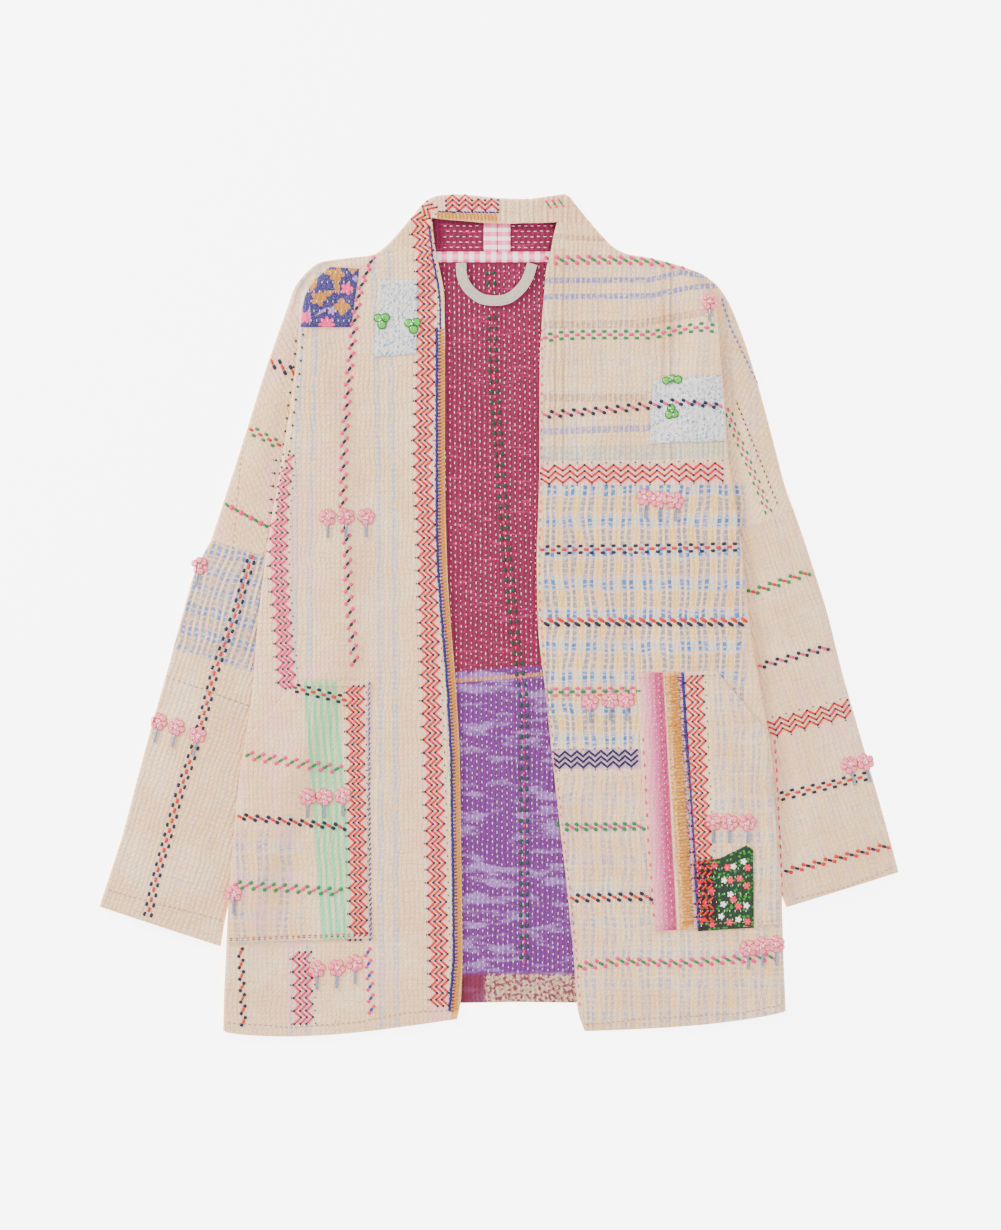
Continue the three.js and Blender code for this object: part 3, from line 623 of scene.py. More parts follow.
tones = {
    "cream": "EBD3B9", "creamDark": "CDB095", "creamLight": "F2E0CB", "blush": "EBC5C4", "magenta": "800852",
    "magentaLight": "C4508C", "magentaDark": "560A30", "purple": "7A4A80", "purpleDark": "4E2C66",
    "lavender": "B096BE", "mint": "8CCBAB", "blueLilac": "8088B4", "mist": "A9B6C8", "gold": "CFA45C",
    "pink": "F0609A", "hotPink": "D4147C", "red": "CC1642", "navy": "1C1C48", "blue": "3D4FA8",
    "brown": "8C5548", "green": "2F8F62", "teal": "4FA3A6", "white": "F4F1EE", "black": "2A1518",
    "leaf": "1F5A44", "grey": "A9A7AE", "beige": "D9C6AE", "crimson": "AA0874", "fuchsia": "DC56B2",
    "ink": "2E2F78", "goldDark": "B98F52", "rose": "D2486E", "lilac": "A3AAC8", "taupe": "A0948C",
    "azure": "4A86B4", "seaMist": "A8D0D6", "straw": "E4C88E", "rust": "7A3A30",
}


def tone(name):
    return dye(tones[name])


quilt = {"column": 4.6, "pitch": 5.2, "wander": 9.0, "thread": 0.3, "depth": 0.0009}


def quilting(finish, u, v):
    # rows of running stitches that pull the cloth in: thread mask, relief, and furrow
    drift = finish.noise(u, v, 0.03, 1.0, 3.0)
    scaled = finish.calc("MULTIPLY_ADD", finish.less(drift, 0.5), quilt["wander"], u)
    scaled = finish.calc("DIVIDE", scaled, quilt["column"])
    index = finish.calc("FLOOR", scaled)
    aside = finish.less(finish.calc("FRACT", scaled), 0.5)
    away = finish.calc("ABSOLUTE", finish.times(aside, quilt["column"]))
    scatter = finish.times(finish.calc("SINE", finish.times(index, 12.99)), 43.7)
    hop = finish.times(finish.calc("FRACT", scatter), 0.3)
    shifted = finish.calc("MULTIPLY_ADD", finish.noise(u, v, 0.05, 1.0, 8.0), 3.0, v)
    along = finish.calc("FRACT", finish.plus(finish.calc("DIVIDE", shifted, quilt["pitch"]), hop))
    middle = finish.calc("ABSOLUTE", finish.less(along, 0.5))
    dash = finish.span(middle, 0.22, 0.32, 1.0, 0.0)
    line = finish.span(away, quilt["thread"], quilt["thread"] + 0.4, 1.0, 0.0)
    furrow = finish.span(away, 0.1, quilt["column"] * 0.42, 1.0, 0.0)
    press = finish.times(furrow, finish.span(middle, 0.1, 0.5, 1.0, 0.25))
    cross = finish.times(finish.span(middle, 0.34, 0.5), 0.5)
    return finish.times(dash, line), finish.less(1.0, finish.calc("MAXIMUM", press, cross)), furrow


def creamBase(finish, u, v, seed):
    # cream cotton with painted shade in its quilting furrows, small specks and faint washes
    thread, relief, _ = quilting(finish, u, v)
    blotch = finish.noise(u, v, 0.02, 2.0, seed)
    fleck = finish.noise(u, v, 0.55, 2.0, seed + 5)
    colour = finish.mix(finish.span(blotch, 0.35, 0.7), tone("cream"), tone("creamLight"))
    # painted shade: darker cream where the quilting presses the cloth into furrows
    furrowShade = finish.span(relief, 0.1, 0.9, 0.3, 0.0)
    colour = finish.mix(furrowShade, colour, tone("creamDark"))
    # a faint grid of darker lines both ways, here and there: painted shade of the cloth's small dimples
    lineDrift = finish.times(finish.less(finish.noise(u, v, 0.05, 1.0, seed + 9), 0.5), 12.0)
    long = finish.band(finish.repeat(finish.plus(v, lineDrift), 3.7), 0.15, 0.5)
    tall = finish.band(finish.repeat(finish.plus(u, lineDrift), 4.3), 0.15, 0.5)
    unevenShare = finish.span(finish.noise(u, v, 0.14, 2.0, seed + 12), 0.42, 0.62, 0.1, 0.55)
    colour = finish.mix(finish.times(finish.calc("MAXIMUM", long, tall), unevenShare), colour, tone("creamDark"))
    colour = finish.mix(finish.span(fleck, 0.5, 0.75, 0.0, 0.45), colour, tone("creamDark"))
    colour = finish.mix(finish.times(thread, 0.4), colour, tone("white"))
    return colour, relief


def endCloth(finish, colour, relief, u, v):
    finish.colour(colour)
    crumple = finish.noise(u, v, 0.13, 3.0, 21.0)
    height = finish.plus(relief, finish.times(crumple, 1.0))
    finish.bump(height, quilt["depth"], 0.9)
    return finish.material


def quiltedCotton(name, seed, paint):
    # an outside of the jacket: quilted cream cotton, with its own stripes and washes painted on
    finish = Finish(name)
    u, v = finish.plane()
    x, y = finish.place()
    colour, relief = creamBase(finish, u, v, seed)
    return endCloth(finish, paint(finish, colour, x, y), relief, u, v)


def insideCloth(name):
    # magenta cotton that turns purple low down, and a patterned hem
    finish = Finish(name)
    u, v = finish.plane()
    x, y = finish.place()
    _, relief, furrow = quilting(finish, u, v)
    streak = finish.noise(finish.times(u, 0.3), finish.times(v, 3.0), 0.2, 3.0, 2.0)
    colour = finish.mix(finish.span(streak, 0.55, 0.72, 0.0, 0.6), tone("magenta"), tone("magentaLight"))
    level = finish.noise(finish.times(x, 0.3), y, 0.12, 2.0, 4.0)
    low = finish.mix(finish.span(level, 0.48, 0.66, 0.0, 0.8), tone("purple"), tone("lavender"))
    seam = finish.calc("MULTIPLY_ADD", finish.less(x, 454.0), 0.078, y)
    lowMask = finish.span(seam, 671.0, 673.0)
    low = finish.mix(finish.times(finish.band(finish.less(seam, 681.0), 1.5), 0.7), low, tone("gold"))
    colour = finish.mix(lowMask, colour, low)
    hem = finish.mix(finish.span(finish.noise(x, y, 0.3, 2.0, 6.0), 0.45, 0.6), tone("beige"), tone("brown"))
    hem = finish.mix(finish.span(x, 483.0, 487.0, 1.0, 0.0), hem, tone("rust"))
    colour = finish.mix(finish.times(finish.span(y, 972.0, 976.0), 0.85), colour, hem)
    # painted shade: the quilting furrows darkened to deep magenta above the seam and deep purple below
    shade = finish.mix(lowMask, tone("magentaDark"), tone("purpleDark"))
    colour = finish.mix(finish.times(furrow, 0.35), colour, shade)
    return endCloth(finish, colour, relief, u, v)


def plaid(finish, colour, x, y, mask, columns=19.0, rows=31.2, phase=490.0, share=1.0):
    # an uneven woven check: lilac stripes in pairs, with blue, yellow and grey blocks between
    wobble = finish.less(finish.noise(x, y, 0.02, 1.0, 12.0), 0.5)
    across = finish.calc("ABSOLUTE", finish.repeat(finish.calc("MULTIPLY_ADD", wobble, 14.0, x), columns))
    jog = finish.calc("MULTIPLY_ADD", finish.less(finish.noise(x, y, 0.06, 1.0, 19.0), 0.5), 9.0, y)
    stripe = finish.band(finish.less(across, 3.3), 1.5, 0.9)
    gap = finish.span(across, 6.2, 7.4)
    blueRow = finish.band(finish.repeat(jog, rows, phase), 3.6, 2.5)
    greyRow = finish.band(finish.repeat(jog, rows, phase + rows / 2), 6.5, 3.0)
    patchy = finish.span(finish.noise(x, y, 0.1, 3.0, 15.0), 0.3, 0.55, 0.35, 1.0)
    fine = finish.span(finish.noise(finish.times(x, 2.0), y, 0.4, 2.0, 17.0), 0.3, 0.55, 0.45, 1.0)
    # rows of quilting break every stripe into short blocks
    block = finish.span(finish.calc("ABSOLUTE", finish.repeat(jog, 5.6)), 1.7, 2.5, 1.0, 0.25)
    whole = finish.times(finish.times(mask, share), block)
    patched = finish.times(whole, patchy)
    unevenShare = finish.times(stripe, fine)
    layers = [
        (whole, unevenShare, 0.75, "lilac"),
        (whole, finish.times(greyRow, unevenShare), 0.8, "taupe"),
        (patched, finish.times(stripe, blueRow), 0.95, "azure"),
        (patched, finish.times(gap, blueRow), 0.5, "seaMist"),
        (patched, finish.times(gap, greyRow), 0.75, "straw"),
    ]
    for reach, shape, strength, name in layers:
        colour = finish.mix(finish.times(reach, finish.times(shape, strength)), colour, tone(name))
    return colour


def washed(finish, colour, mask, share, name):
    return finish.mix(finish.times(mask, share), colour, tone(name))


def rightFrontPaint(finish, colour, x, y):
    band = finish.course(y, [(260, 426), (480, 426), (676, 430.5), (816, 435), (950, 438.5), (1030, 440)])
    onBody = finish.span(y, 236.0, 244.0)
    upright = finish.times(finish.band(finish.less(x, band), 10.0), onBody)
    colour = washed(finish, colour, upright, 0.6, "blush")
    strip = finish.times(finish.band(finish.less(y, 207.0), 9.5), finish.span(x, 424.0, 430.0))
    colour = washed(finish, colour, strip, 0.5, "blush")
    edge = finish.course(y, [(260, 442), (530, 443), (690, 453), (830, 457), (960, 458), (1030, 455)])
    low = finish.times(finish.band(finish.less(x, edge), 4.5), finish.within(y, 350.0, 1040.0))
    colour = washed(finish, colour, low, 0.65, "gold")
    brim = finish.times(finish.within(y, 214.0, 226.0, 1.0), finish.span(x, 436.0, 440.0))
    colour = washed(finish, colour, brim, 0.6, "gold")
    patchy = finish.span(finish.noise(x, y, 0.12, 2.0, 9.0), 0.25, 0.55)
    beat = finish.span(finish.calc("ABSOLUTE", finish.repeat(y, 5.6)), 1.6, 2.5, 1.0, 0.3)
    for top, middle, bottom in ((304, 296, 292), (319, 311, 308), (374, 379, 382), (389, 394, 397)):
        line = finish.course(y, [(250, top), (500, middle), (1030, bottom)])
        mask = finish.times(finish.band(finish.less(x, line), 2.4, 1.2), finish.times(patchy, beat))
        colour = washed(finish, colour, mask, 0.55, "mist")
    fold = finish.course(y, [(430, 270), (560, 279), (690, 288), (1000, 297)])
    foldMask = finish.times(finish.band(finish.less(x, fold), 8.5, 2.0), finish.span(y, 430.0, 470.0))
    colour = washed(finish, colour, foldMask, 0.5, "blush")
    cloud = finish.span(finish.noise(x, y, 0.02, 2.0, 31.0), 0.52, 0.68)
    return washed(finish, colour, cloud, 0.3, "blush")


def leftFrontPaint(finish, colour, x, y):
    body = finish.span(x, 740.0, 748.0, 1.0, 0.0)
    colour = plaid(finish, colour, x, y, finish.times(finish.within(y, 486.0, 748.0, 5.0), body))
    colour = plaid(finish, colour, x, y, finish.span(y, 768.0, 776.0), phase=797.0, share=0.42)
    colour = plaid(finish, colour, x, y, finish.within(y, 250.0, 462.0, 5.0), 26.0, phase=300.0, share=0.2)
    for centre in (555.0, 563.0, 663.0, 671.0):
        mask = finish.times(finish.band(finish.less(x, centre), 1.2, 1.0), finish.within(y, 250.0, 460.0))
        colour = washed(finish, colour, mask, 0.35, "brown")
    band = finish.times(finish.band(finish.less(y, 474.0), 10.5), finish.span(x, 722.0, 728.0, 1.0, 0.0))
    colour = washed(finish, colour, band, 0.6, "blush")
    lilac = finish.times(finish.band(finish.less(y, 759.0), 9.5), finish.span(x, 646.0, 650.0, 1.0, 0.0))
    colour = washed(finish, colour, lilac, 0.6, "lavender")
    collar = finish.span(y, 222.0, 226.0, 1.0, 0.0)
    strip = finish.times(collar, finish.band(finish.repeat(x, 7.0, 2.0), 1.2, 1.0))
    colour = washed(finish, colour, strip, 0.25, "brown")
    blocks = finish.band(finish.repeat(x, 5.4), 1.7, 0.8)
    beat = finish.times(blocks, finish.span(finish.noise(x, y, 0.3), 0.3, 0.5))
    rows = [
        ([(540, 281), (650, 280), (680, 273), (715, 277)], 2.4, "blueLilac", 0.85, 545, 716),
        ([(540, 297), (650, 296), (690, 288), (712, 286)], 2.4, "blueLilac", 0.85, 541, 716),
        ([(556, 237), (610, 240), (650, 247)], 2.2, "brown", 0.45, 557, 640),
        ([(540, 325), (640, 324), (700, 313)], 3.6, "brown", 0.42, 545, 712),
        ([(540, 398), (648, 398)], 3.6, "brown", 0.42, 545, 646),
        ([(540, 432), (650, 428)], 3.0, "blueLilac", 0.7, 541, 700),
        ([(540, 454), (660, 452), (740, 448)], 7.5, "teal", 0.4, 541, 722),
    ]
    for points, half, name, share, left, right in rows:
        row = finish.band(finish.less(y, finish.course(x, points)), half)
        mask = finish.times(row, finish.within(x, left, right))
        colour = washed(finish, colour, finish.times(mask, beat), share, name)
    return colour


def sleeveFinish(name, seed, start, turn, zones):
    # along and across run with the sleeve from its own shoulder end, in pixels
    def paint(finish, colour, x, y):
        dx, dy = finish.less(x, start[0]), finish.less(y, start[1])
        along = finish.plus(finish.times(dx, math.sin(turn)), finish.times(dy, math.cos(turn)))
        across = finish.less(finish.times(dx, math.cos(turn)), finish.times(dy, math.sin(turn)))
        return zones(finish, colour, along, across)
    return quiltedCotton(name, seed, paint)


def rightSleeveZones(finish, colour, along, across):
    upper = finish.within(along, -20.0, 112.0, 6.0)
    colour = plaid(finish, colour, across, along, upper, 13.0, 21.0, 8.0, 0.8)
    return plaid(finish, colour, across, along, finish.span(along, 112.0, 124.0), 19.0, 30.0, 8.0, 0.1)


def leftSleeveZones(finish, colour, along, across):
    colour = plaid(finish, colour, across, along, finish.span(along, -20.0, 0.0), 20.0, 33.0, 8.0, 0.14)
    cloud = finish.span(finish.noise(across, along, 0.03, 2.0, 3.0), 0.45, 0.65)
    return washed(finish, colour, finish.times(cloud, finish.within(along, 150.0, 260.0, 20.0)), 0.4, "blush")


def rightPocketPaint(finish, colour, x, y):
    middle = finish.course(y, [(680, 320), (760, 326), (943, 339)])
    colour = washed(finish, colour, finish.band(finish.less(x, middle), 16.0, 2.5), 0.35, "mint")
    for shift in (-14.0, -7.0, 0.0, 7.0, 14.0):
        line = finish.band(finish.less(finish.less(x, middle), shift), 1.3, 1.0)
        colour = washed(finish, colour, line, 0.8, "mint")
    colour = washed(finish, colour, finish.band(finish.less(x, 358.0), 9.0), 0.5, "blush")
    colour = washed(finish, colour, finish.span(x, 367.0, 368.5), 0.45, "lavender")
    leftSide = finish.span(x, 300.0, 306.0, 1.0, 0.0)
    low = finish.times(leftSide, finish.span(y, 826.0, 834.0))
    colour = plaid(finish, colour, x, y, low, 22.0, 34.0, 846.0, 0.55)
    cloud = finish.span(finish.noise(x, y, 0.03, 2.0, 3.0), 0.42, 0.65)
    return washed(finish, colour, finish.times(cloud, leftSide), 0.4, "blush")


def leftPocketPaint(finish, colour, x, y):
    away = finish.less(finish.course(y, [(670, 663), (930, 677)]), x)
    deep = finish.mix(finish.span(away, 2.0, 22.0), tone("crimson"), tone("fuchsia"))
    grain = finish.span(finish.noise(x, y, 0.35, 2.0, 8.0), 0.3, 0.65, 0.85, 1.0)
    shade = finish.times(finish.span(away, 4.0, 34.0, 1.0, 0.0), finish.span(away, -1.0, 1.0))
    colour = finish.mix(finish.times(shade, grain), colour, deep)
    aside = finish.less(x, finish.course(y, [(670, 673), (930, 689)]))
    bobble = finish.span(finish.noise(x, finish.times(y, 1.6), 0.35, 1.0, 5.0), 0.4, 0.6, 0.45, 1.0)
    bars = finish.mix(finish.band(finish.repeat(y, 8.2), 2.4, 1.2), tone("goldDark"), tone("gold"))
    bars = finish.mix(finish.times(finish.span(aside, 1.5, 5.0), bobble), bars, tone("purple"))
    colour = finish.mix(finish.times(finish.band(aside, 8.5, 1.0), bobble), colour, bars)
    line = finish.band(finish.less(x, finish.course(y, [(670, 682.5), (930, 699)])), 1.6)
    colour = washed(finish, colour, line, 0.9, "ink")
    band = finish.band(finish.less(x, finish.course(y, [(670, 693), (930, 703)])), 9.0)
    colour = washed(finish, colour, band, 0.4, "blush")
    return plaid(finish, colour, x, y, finish.span(x, 712.0, 716.0), 18.0, 34.0, 700.0, 0.4)


def backPaint(finish, colour, x, y):
    return plaid(finish, colour, x, y, finish.span(y, 250.0, 260.0), share=0.4)


def blossom(finish, colour, x, y, place, size, petals, name, share=1.0):
    # one small round flower with even petals
    dx, dy = finish.less(x, place[0]), finish.less(y, place[1])
    far = finish.calc("SQRT", finish.plus(finish.times(dx, dx), finish.times(dy, dy)))
    turn = finish.times(finish.calc("ARCTAN2", dy, dx), petals / 2)
    lobes = finish.times(finish.calc("ABSOLUTE", finish.calc("COSINE", turn)), 0.5 * size)
    limit = finish.plus(0.5 * size, lobes)
    mask = finish.span(finish.less(far, limit), -0.5, 0.4, share, 0.0)
    return finish.mix(mask, colour, tone(name))


def leafSpray(finish, colour, x, y, place, length, width, turn, name):
    # one long leaf, pointed at both ends
    dx, dy = finish.less(x, place[0]), finish.less(y, place[1])
    along = finish.plus(finish.times(dx, math.cos(turn)), finish.times(dy, math.sin(turn)))
    across = finish.less(finish.times(dy, math.cos(turn)), finish.times(dx, math.sin(turn)))
    far = finish.plus(finish.calc("ABSOLUTE", finish.times(along, 1 / length)),
                      finish.calc("ABSOLUTE", finish.times(across, 1 / width)))
    return finish.mix(finish.span(far, 0.9, 1.05, 1.0, 0.0), colour, tone(name))


def endPrint(finish, colour, u, v):
    _, relief, _ = quilting(finish, u, v)
    return endCloth(finish, colour, finish.times(relief, 0.7), u, v)


def navyPrint():
    # gold leaves, pink flowers and white twigs on dark blue
    finish = Finish("navy_flower_print", 0.85, 0.1)
    u, v = finish.plane()
    x, y = finish.place()
    ground = finish.span(finish.noise(u, v, 0.4, 2.0, 1.0), 0.4, 0.7)
    colour = finish.mix(ground, dye("2A2564"), dye("382F7C"))
    for place, length, width, turn in (((310, 316), 1.3, 11, 0.0), ((322, 312), 9, 1.5, -0.6)):
        colour = leafSpray(finish, colour, x, y, place, length, width, turn, "lavender")
    for place, size, petals, name in (
            ((347, 289), 6.5, 5, "pink"), ((305, 318), 6.5, 6, "pink"), ((327, 325), 8.5, 8, "pink"),
            ((311, 271), 4.5, 5, "pink"), ((332, 311), 4.5, 5, "lavender"), ((356, 279), 3.5, 4, "lavender"),
            ((337, 275), 8.0, 5, "goldDark"), ((319, 299), 8.0, 5, "goldDark"),
            ((342, 307), 8.5, 4, "goldDark"), ((353, 270), 4.5, 4, "goldDark")):
        colour = blossom(finish, colour, x, y, place, size, petals, name)
    for place, turn in (((314, 286), -1.1), ((337, 287), 1.3), ((328, 294), -0.4), ((327, 272), 0.5)):
        colour = leafSpray(finish, colour, x, y, place, 9.0, 3.2, turn, "goldDark")
    glint = finish.span(finish.noise(u, v, 1.6, 2.0, 2.0), 0.5, 0.7, 0.0, 0.25)
    return endPrint(finish, finish.mix(glint, colour, tone("creamLight")), u, v)


def palePrint(name, seed):
    # faint grey-blue leaves on a pale grey ground
    finish = Finish(name, 0.85, 0.1)
    u, v = finish.plane()
    ground = finish.span(finish.noise(u, v, 0.2, 2.0, seed), 0.4, 0.65)
    colour = finish.mix(ground, dye("D9D7D4"), dye("E4E1DE"))
    bend = finish.times(finish.less(finish.noise(u, v, 0.35, 1.0, seed + 3), 0.5), 5.0)
    for way in (0.5, -0.5):
        turned = finish.plus(finish.times(u, math.cos(way)), finish.times(v, math.sin(way)))
        crossed = finish.less(finish.times(v, math.cos(way)), finish.times(u, math.sin(way)))
        marks, pick = finish.spots(finish.plus(turned, bend), finish.times(crossed, 0.4), 2.6, 0.2)
        colour = finish.mix(finish.times(marks, finish.span(pick, 0.2, 0.7, 0.2, 0.9)), colour, dye("8C9CAC"))
    return endPrint(finish, colour, u, v)


def leafPrint():
    # small roses and white flowers on dark green, and red ones on the dark third
    finish = Finish("green_flower_print", 0.85, 0.1)
    u, v = finish.plane()
    x, y = finish.place()
    colour = finish.mix(finish.span(x, 715.0, 717.0, 1.0, 0.0), dye("103A22"), tone("black"))
    drift = finish.times(finish.noise(u, v, 0.5, 1.0, 4.0), 4.0)
    leaves, pick = finish.spots(finish.plus(u, drift), v, 4.0, 0.24)
    colour = finish.mix(finish.times(leaves, finish.span(pick, 0.35, 0.5)), colour, dye("4F8F4A"))
    for place in (
            (743, 861), (724, 880), (730, 894), (746, 905), (723, 904), (733, 866), (738, 919), (721, 916)):
        colour = blossom(finish, colour, x, y, place, 3.3, 5, "white")
    for place in (
            (747, 867), (739, 878), (746, 885), (738, 906), (730, 880), (729, 922), (747, 921), (727, 867),
            (714, 865), (698, 866), (699, 882), (705, 904), (711, 890), (701, 920), (712, 924), (733, 899)):
        colour = blossom(finish, colour, x, y, place, 3.7, 6, "rose")
    return endPrint(finish, colour, u, v)


def checkTape(name, upright, level, period):
    # small pink and white checks, woven, their upright and level bands each at its own strength
    finish = Finish(name, 0.85, 0.1)
    u, v = finish.plane()
    one = finish.times(finish.band(finish.repeat(u, 10.4), 2.6, 0.3), upright)
    two = finish.times(finish.band(finish.repeat(v, period, 345.2), period / 4, 0.3), level)
    finish.colour(finish.mix(finish.plus(one, two), dye("F6F0F0"), dye("E8709C")))
    finish.bump(finish.noise(u, v, 0.3, 2.0, 2.0), 0.0004, 0.7)
    return finish.material


def bandCloth():
    finish = Finish("loop_woven_cotton", 0.85, 0.15)
    u, v = finish.plane()
    rib = finish.calc("SINE", finish.times(u, 5.2))
    # painted shade: each rib lighter on its crest and darker in its groove, following the same wave as its
    # bump
    colour = finish.mix(finish.span(rib, -1.0, 1.0), dye("A9A297"), dye("E2DDD4"))
    soil = finish.span(finish.noise(u, v, 0.4, 2.0, 1.0), 0.4, 0.7, 0.0, 0.5)
    finish.colour(finish.mix(soil, colour, dye("B9A9A0")))
    finish.bump(finish.plus(rib, finish.noise(u, v, 0.6, 2.0, 3.0)), 0.0003, 0.7)
    return finish.material


def edgeCloth():
    finish = Finish("cut_edge_cotton")
    u, v = finish.plane()
    fray = finish.noise(u, v, 0.5, 2.0, 2.0)
    finish.colour(finish.mix(finish.span(fray, 0.4, 0.6), tone("creamDark"), tone("cream")))
    finish.bump(fray, 0.0004, 0.6)
    return finish.material


inner = insideCloth("magenta_quilted_cotton")
rimFinish = edgeCloth()
print("finishes made")


def frontPiece(front, material):
    rays = [collarRay(row) for row in named(rayColumns, front["rays"])][::-1]
    rows = named(frontColumns, front["rows"])
    arms = [shoulderRow(row) for row in rows if row["roll"] > 0]
    sides = [sideRow(row) for row in rows if row["roll"] == 0]
    armRows = len(rays) + len(arms)
    upper = np.array(rays + arms)
    whole = np.array([row[:sideColumn + 1] for row in rays + arms + sides])
    shares = rowShares(whole, cloth["rowStep"])
    body = closerRows(whole, shares)
    armShares = [s for s in shares if s[0] + s[1] <= armRows - 1 + 1e-9]
    arm = closerRows(upper[:, sideColumn + 1:], armShares)
    grid = np.zeros((len(body), upper.shape[1], 3))
    grid[:, :sideColumn + 1] = body
    grid[:len(arm), sideColumn + 1:] = arm
    grid[len(arm):, sideColumn + 1:] = arm[-1]
    # soft relief where the cloth lies open to view, never downwards
    share = np.zeros(grid.shape[:2])
    share[:, :bodyCount] = 1.0
    share[:, bodyCount - 4:bodyCount] *= np.array([0.75, 0.5, 0.25, 0.0])
    armFrom = sideColumn + 1 + cells["turn"]
    place = np.array([s[0] + s[1] for s in shares])
    onArm = ease((place[:len(arm)] - len(rays) - 2) / 3)[:, None]
    across = np.arange(cells["arm"]) / cells["arm"]
    outerArm = ease((across - 0.55) / 0.2) * ease((1 - across) / 0.15)
    share[:len(arm), armFrom:armFrom + cells["arm"]] = outerArm * onArm
    grid[..., 2] += cloth["relief"] * share * swell(grid[..., 0], grid[..., 1], front["seed"])
    keep = np.zeros((grid.shape[0] - 1, grid.shape[1] - 1), bool)
    keep[:, :sideColumn] = True
    keep[:len(arm) - 1, :] = True
    normals = gridNormals(grid, False, front["side"])
    # past the pleat the cloth runs along the arm, so its rows of stitches turn with it
    plane = grid[..., :2].copy()
    turned = math.radians(-30 if front["side"] > 0 else 30)
    turn = np.array([[math.cos(turned), -math.sin(turned)], [math.sin(turned), math.cos(turned)]])
    pleat = bodyCount + cells["turn"] // 2
    blend = ease((place - len(rays) - 1) / 4)[:, None, None]
    plane[:, pleat:] = plane[:, pleat:] * (1 - blend) + plane[:, pleat:] @ turn.T * blend
    return sheetPiece(front["node"] + "_cloth", grid, normals, cloth["wall"], [material, inner, rimFinish],
                      front["node"], keep, plane=plane)


rightCloth = frontPiece(rightFront, quiltedCotton("right_front_quilted_cotton", 1.0, rightFrontPaint))
leftCloth = frontPiece(leftFront, quiltedCotton("left_front_quilted_cotton", 2.0, leftFrontPaint))
print("fronts made", len(rightCloth.data.polygons))


def sleeveRing(section, firstWidth):
    innerSide, out = corners(section, "inner", "out")
    outward = unit(out - innerSide)
    radius = cloth["foldRadius"]
    inset = radius + cloth["wall"] / 2
    near, far = innerSide + outward * inset, out - outward * inset
    level, floorLevel = cloth["floorLevel"] + 2 * radius, cloth["floorLevel"]
    points = []
    for k in range(cells["sleeve"]):
        share = k / cells["sleeve"]
        rise = float(puffOf(share, section["cover"], firstWidth))
        points.append([*(near + (far - near) * share), level + rise])
    points += halfTurn(far, outward, radius, floorLevel, 0)
    for k in range(cells["sleeve"]):
        points.append([*(far + (near - far) * k / cells["sleeve"]), floorLevel])
    return points + halfTurn(near, -outward, radius, floorLevel, 0, -1)


def sleevePiece(sleeve, front, material):
    armRow = [row for row in named(frontColumns, front["rows"]) if row["roll"] > 0][-1]
    outSide, innerSide = corners(armRow, "out", "inner")
    along = unit(outSide - innerSide)
    down = np.array([along[1], -along[0]]) * sleeve["side"] * cloth["gap"]
    first = dict(zip(sleeveColumns, [*(outSide + down), *(innerSide + down), 0.56]))
    sections = [first] + named(sleeveColumns, sleeve["sections"])
    width = float(np.hypot(*(outSide - innerSide)))
    stack = np.array([sleeveRing(section, width) for section in sections])
    shares = rowShares(stack, cloth["rowStep"])
    grid = closerRows(stack, shares)
    covers = [section["cover"] for section in sections]
    cover = np.interp([s[0] + s[1] for s in shares], np.arange(len(covers)), covers)[:, None]
    across = np.arange(cells["sleeve"]) / cells["sleeve"]
    share = np.zeros(grid.shape[:2])
    share[:, :cells["sleeve"]] = ease((across - cover - 0.02) / 0.12) * ease((1 - across) / 0.12)
    grid[..., 2] += cloth["relief"] * share * swell(grid[..., 0], grid[..., 1], sleeve["seed"])
    axis = unit(stack[-1][0][:2] - stack[0][0][:2])
    plane = np.stack([grid[..., :2] @ np.array([-axis[1], axis[0]]), grid[..., :2] @ -axis], axis=-1)
    normals = gridNormals(grid, True, -sleeve["side"])
    return sheetPiece(sleeve["node"] + "_cloth", grid, normals, cloth["wall"], [material, inner, rimFinish],
                      sleeve["node"], closed=True, plane=plane)


sleeveTurn = math.radians(15.5)
rightSleeveFinish = sleeveFinish(
    "right_sleeve_quilted_cotton", 5.0, (211, 540), -sleeveTurn, rightSleeveZones)
leftSleeveFinish = sleeveFinish(
    "left_sleeve_quilted_cotton", 6.0, (794, 510), sleeveTurn, leftSleeveZones)
rightTube = sleevePiece(rightSleeve, rightFront, rightSleeveFinish)
leftTube = sleevePiece(leftSleeve, leftFront, leftSleeveFinish)
print("sleeves made")


def gridLines(bm, low, high, step):
    # cuts flat faces along even lines both ways
    for axis in (0, 1):
        place = math.ceil(low[axis] / step) * step
        while place < high[axis]:
            point, way = [0, 0, 0], [0, 0, 0]
            point[axis], way[axis] = place, 1
            geometry = bm.verts[:] + bm.edges[:] + bm.faces[:]
            bmesh.ops.bisect_plane(bm, geom=geometry, dist=1e-4, plane_co=point, plane_no=way)
            place += step


def cellsOf(outline, step):
    # a flat outline filled with small cells: points, faces, and the edges round it
    bm = bmesh.new()
    bm.faces.new([bm.verts.new((x, y, 0)) for x, y in outline])
    gridLines(bm, np.min(outline, axis=0), np.max(outline, axis=0), step)
    bmesh.ops.remove_doubles(bm, verts=bm.verts[:], dist=0.02)
    bm.normal_update()
    if bm.faces[:][0].normal.z < 0:
        bmesh.ops.reverse_faces(bm, faces=bm.faces[:])
    bm.verts.index_update()
    points = np.array([v.co[:2] for v in bm.verts])
    faces = [[v.index for v in face.verts] for face in bm.faces]
    ways = {pair for face in faces for pair in zip(face, face[1:] + face[:1])}
    rims = [(e.verts[0].index, e.verts[1].index) for e in bm.edges if len(e.link_faces) == 1]
    rims = [pair if pair in ways else pair[::-1] for pair in rims]
    bm.free()
    return points, faces, rims


def resampled(points, step):
    # a closed outline with points at even steps
    points = np.asarray(points, float)
    out = []
    for a, b in zip(points, np.roll(points, -1, axis=0)):
        parts = max(1, int(round(np.hypot(*(b - a)) / step)))
        out += [a + (b - a) * k / parts for k in range(parts)]
    return np.array(out)


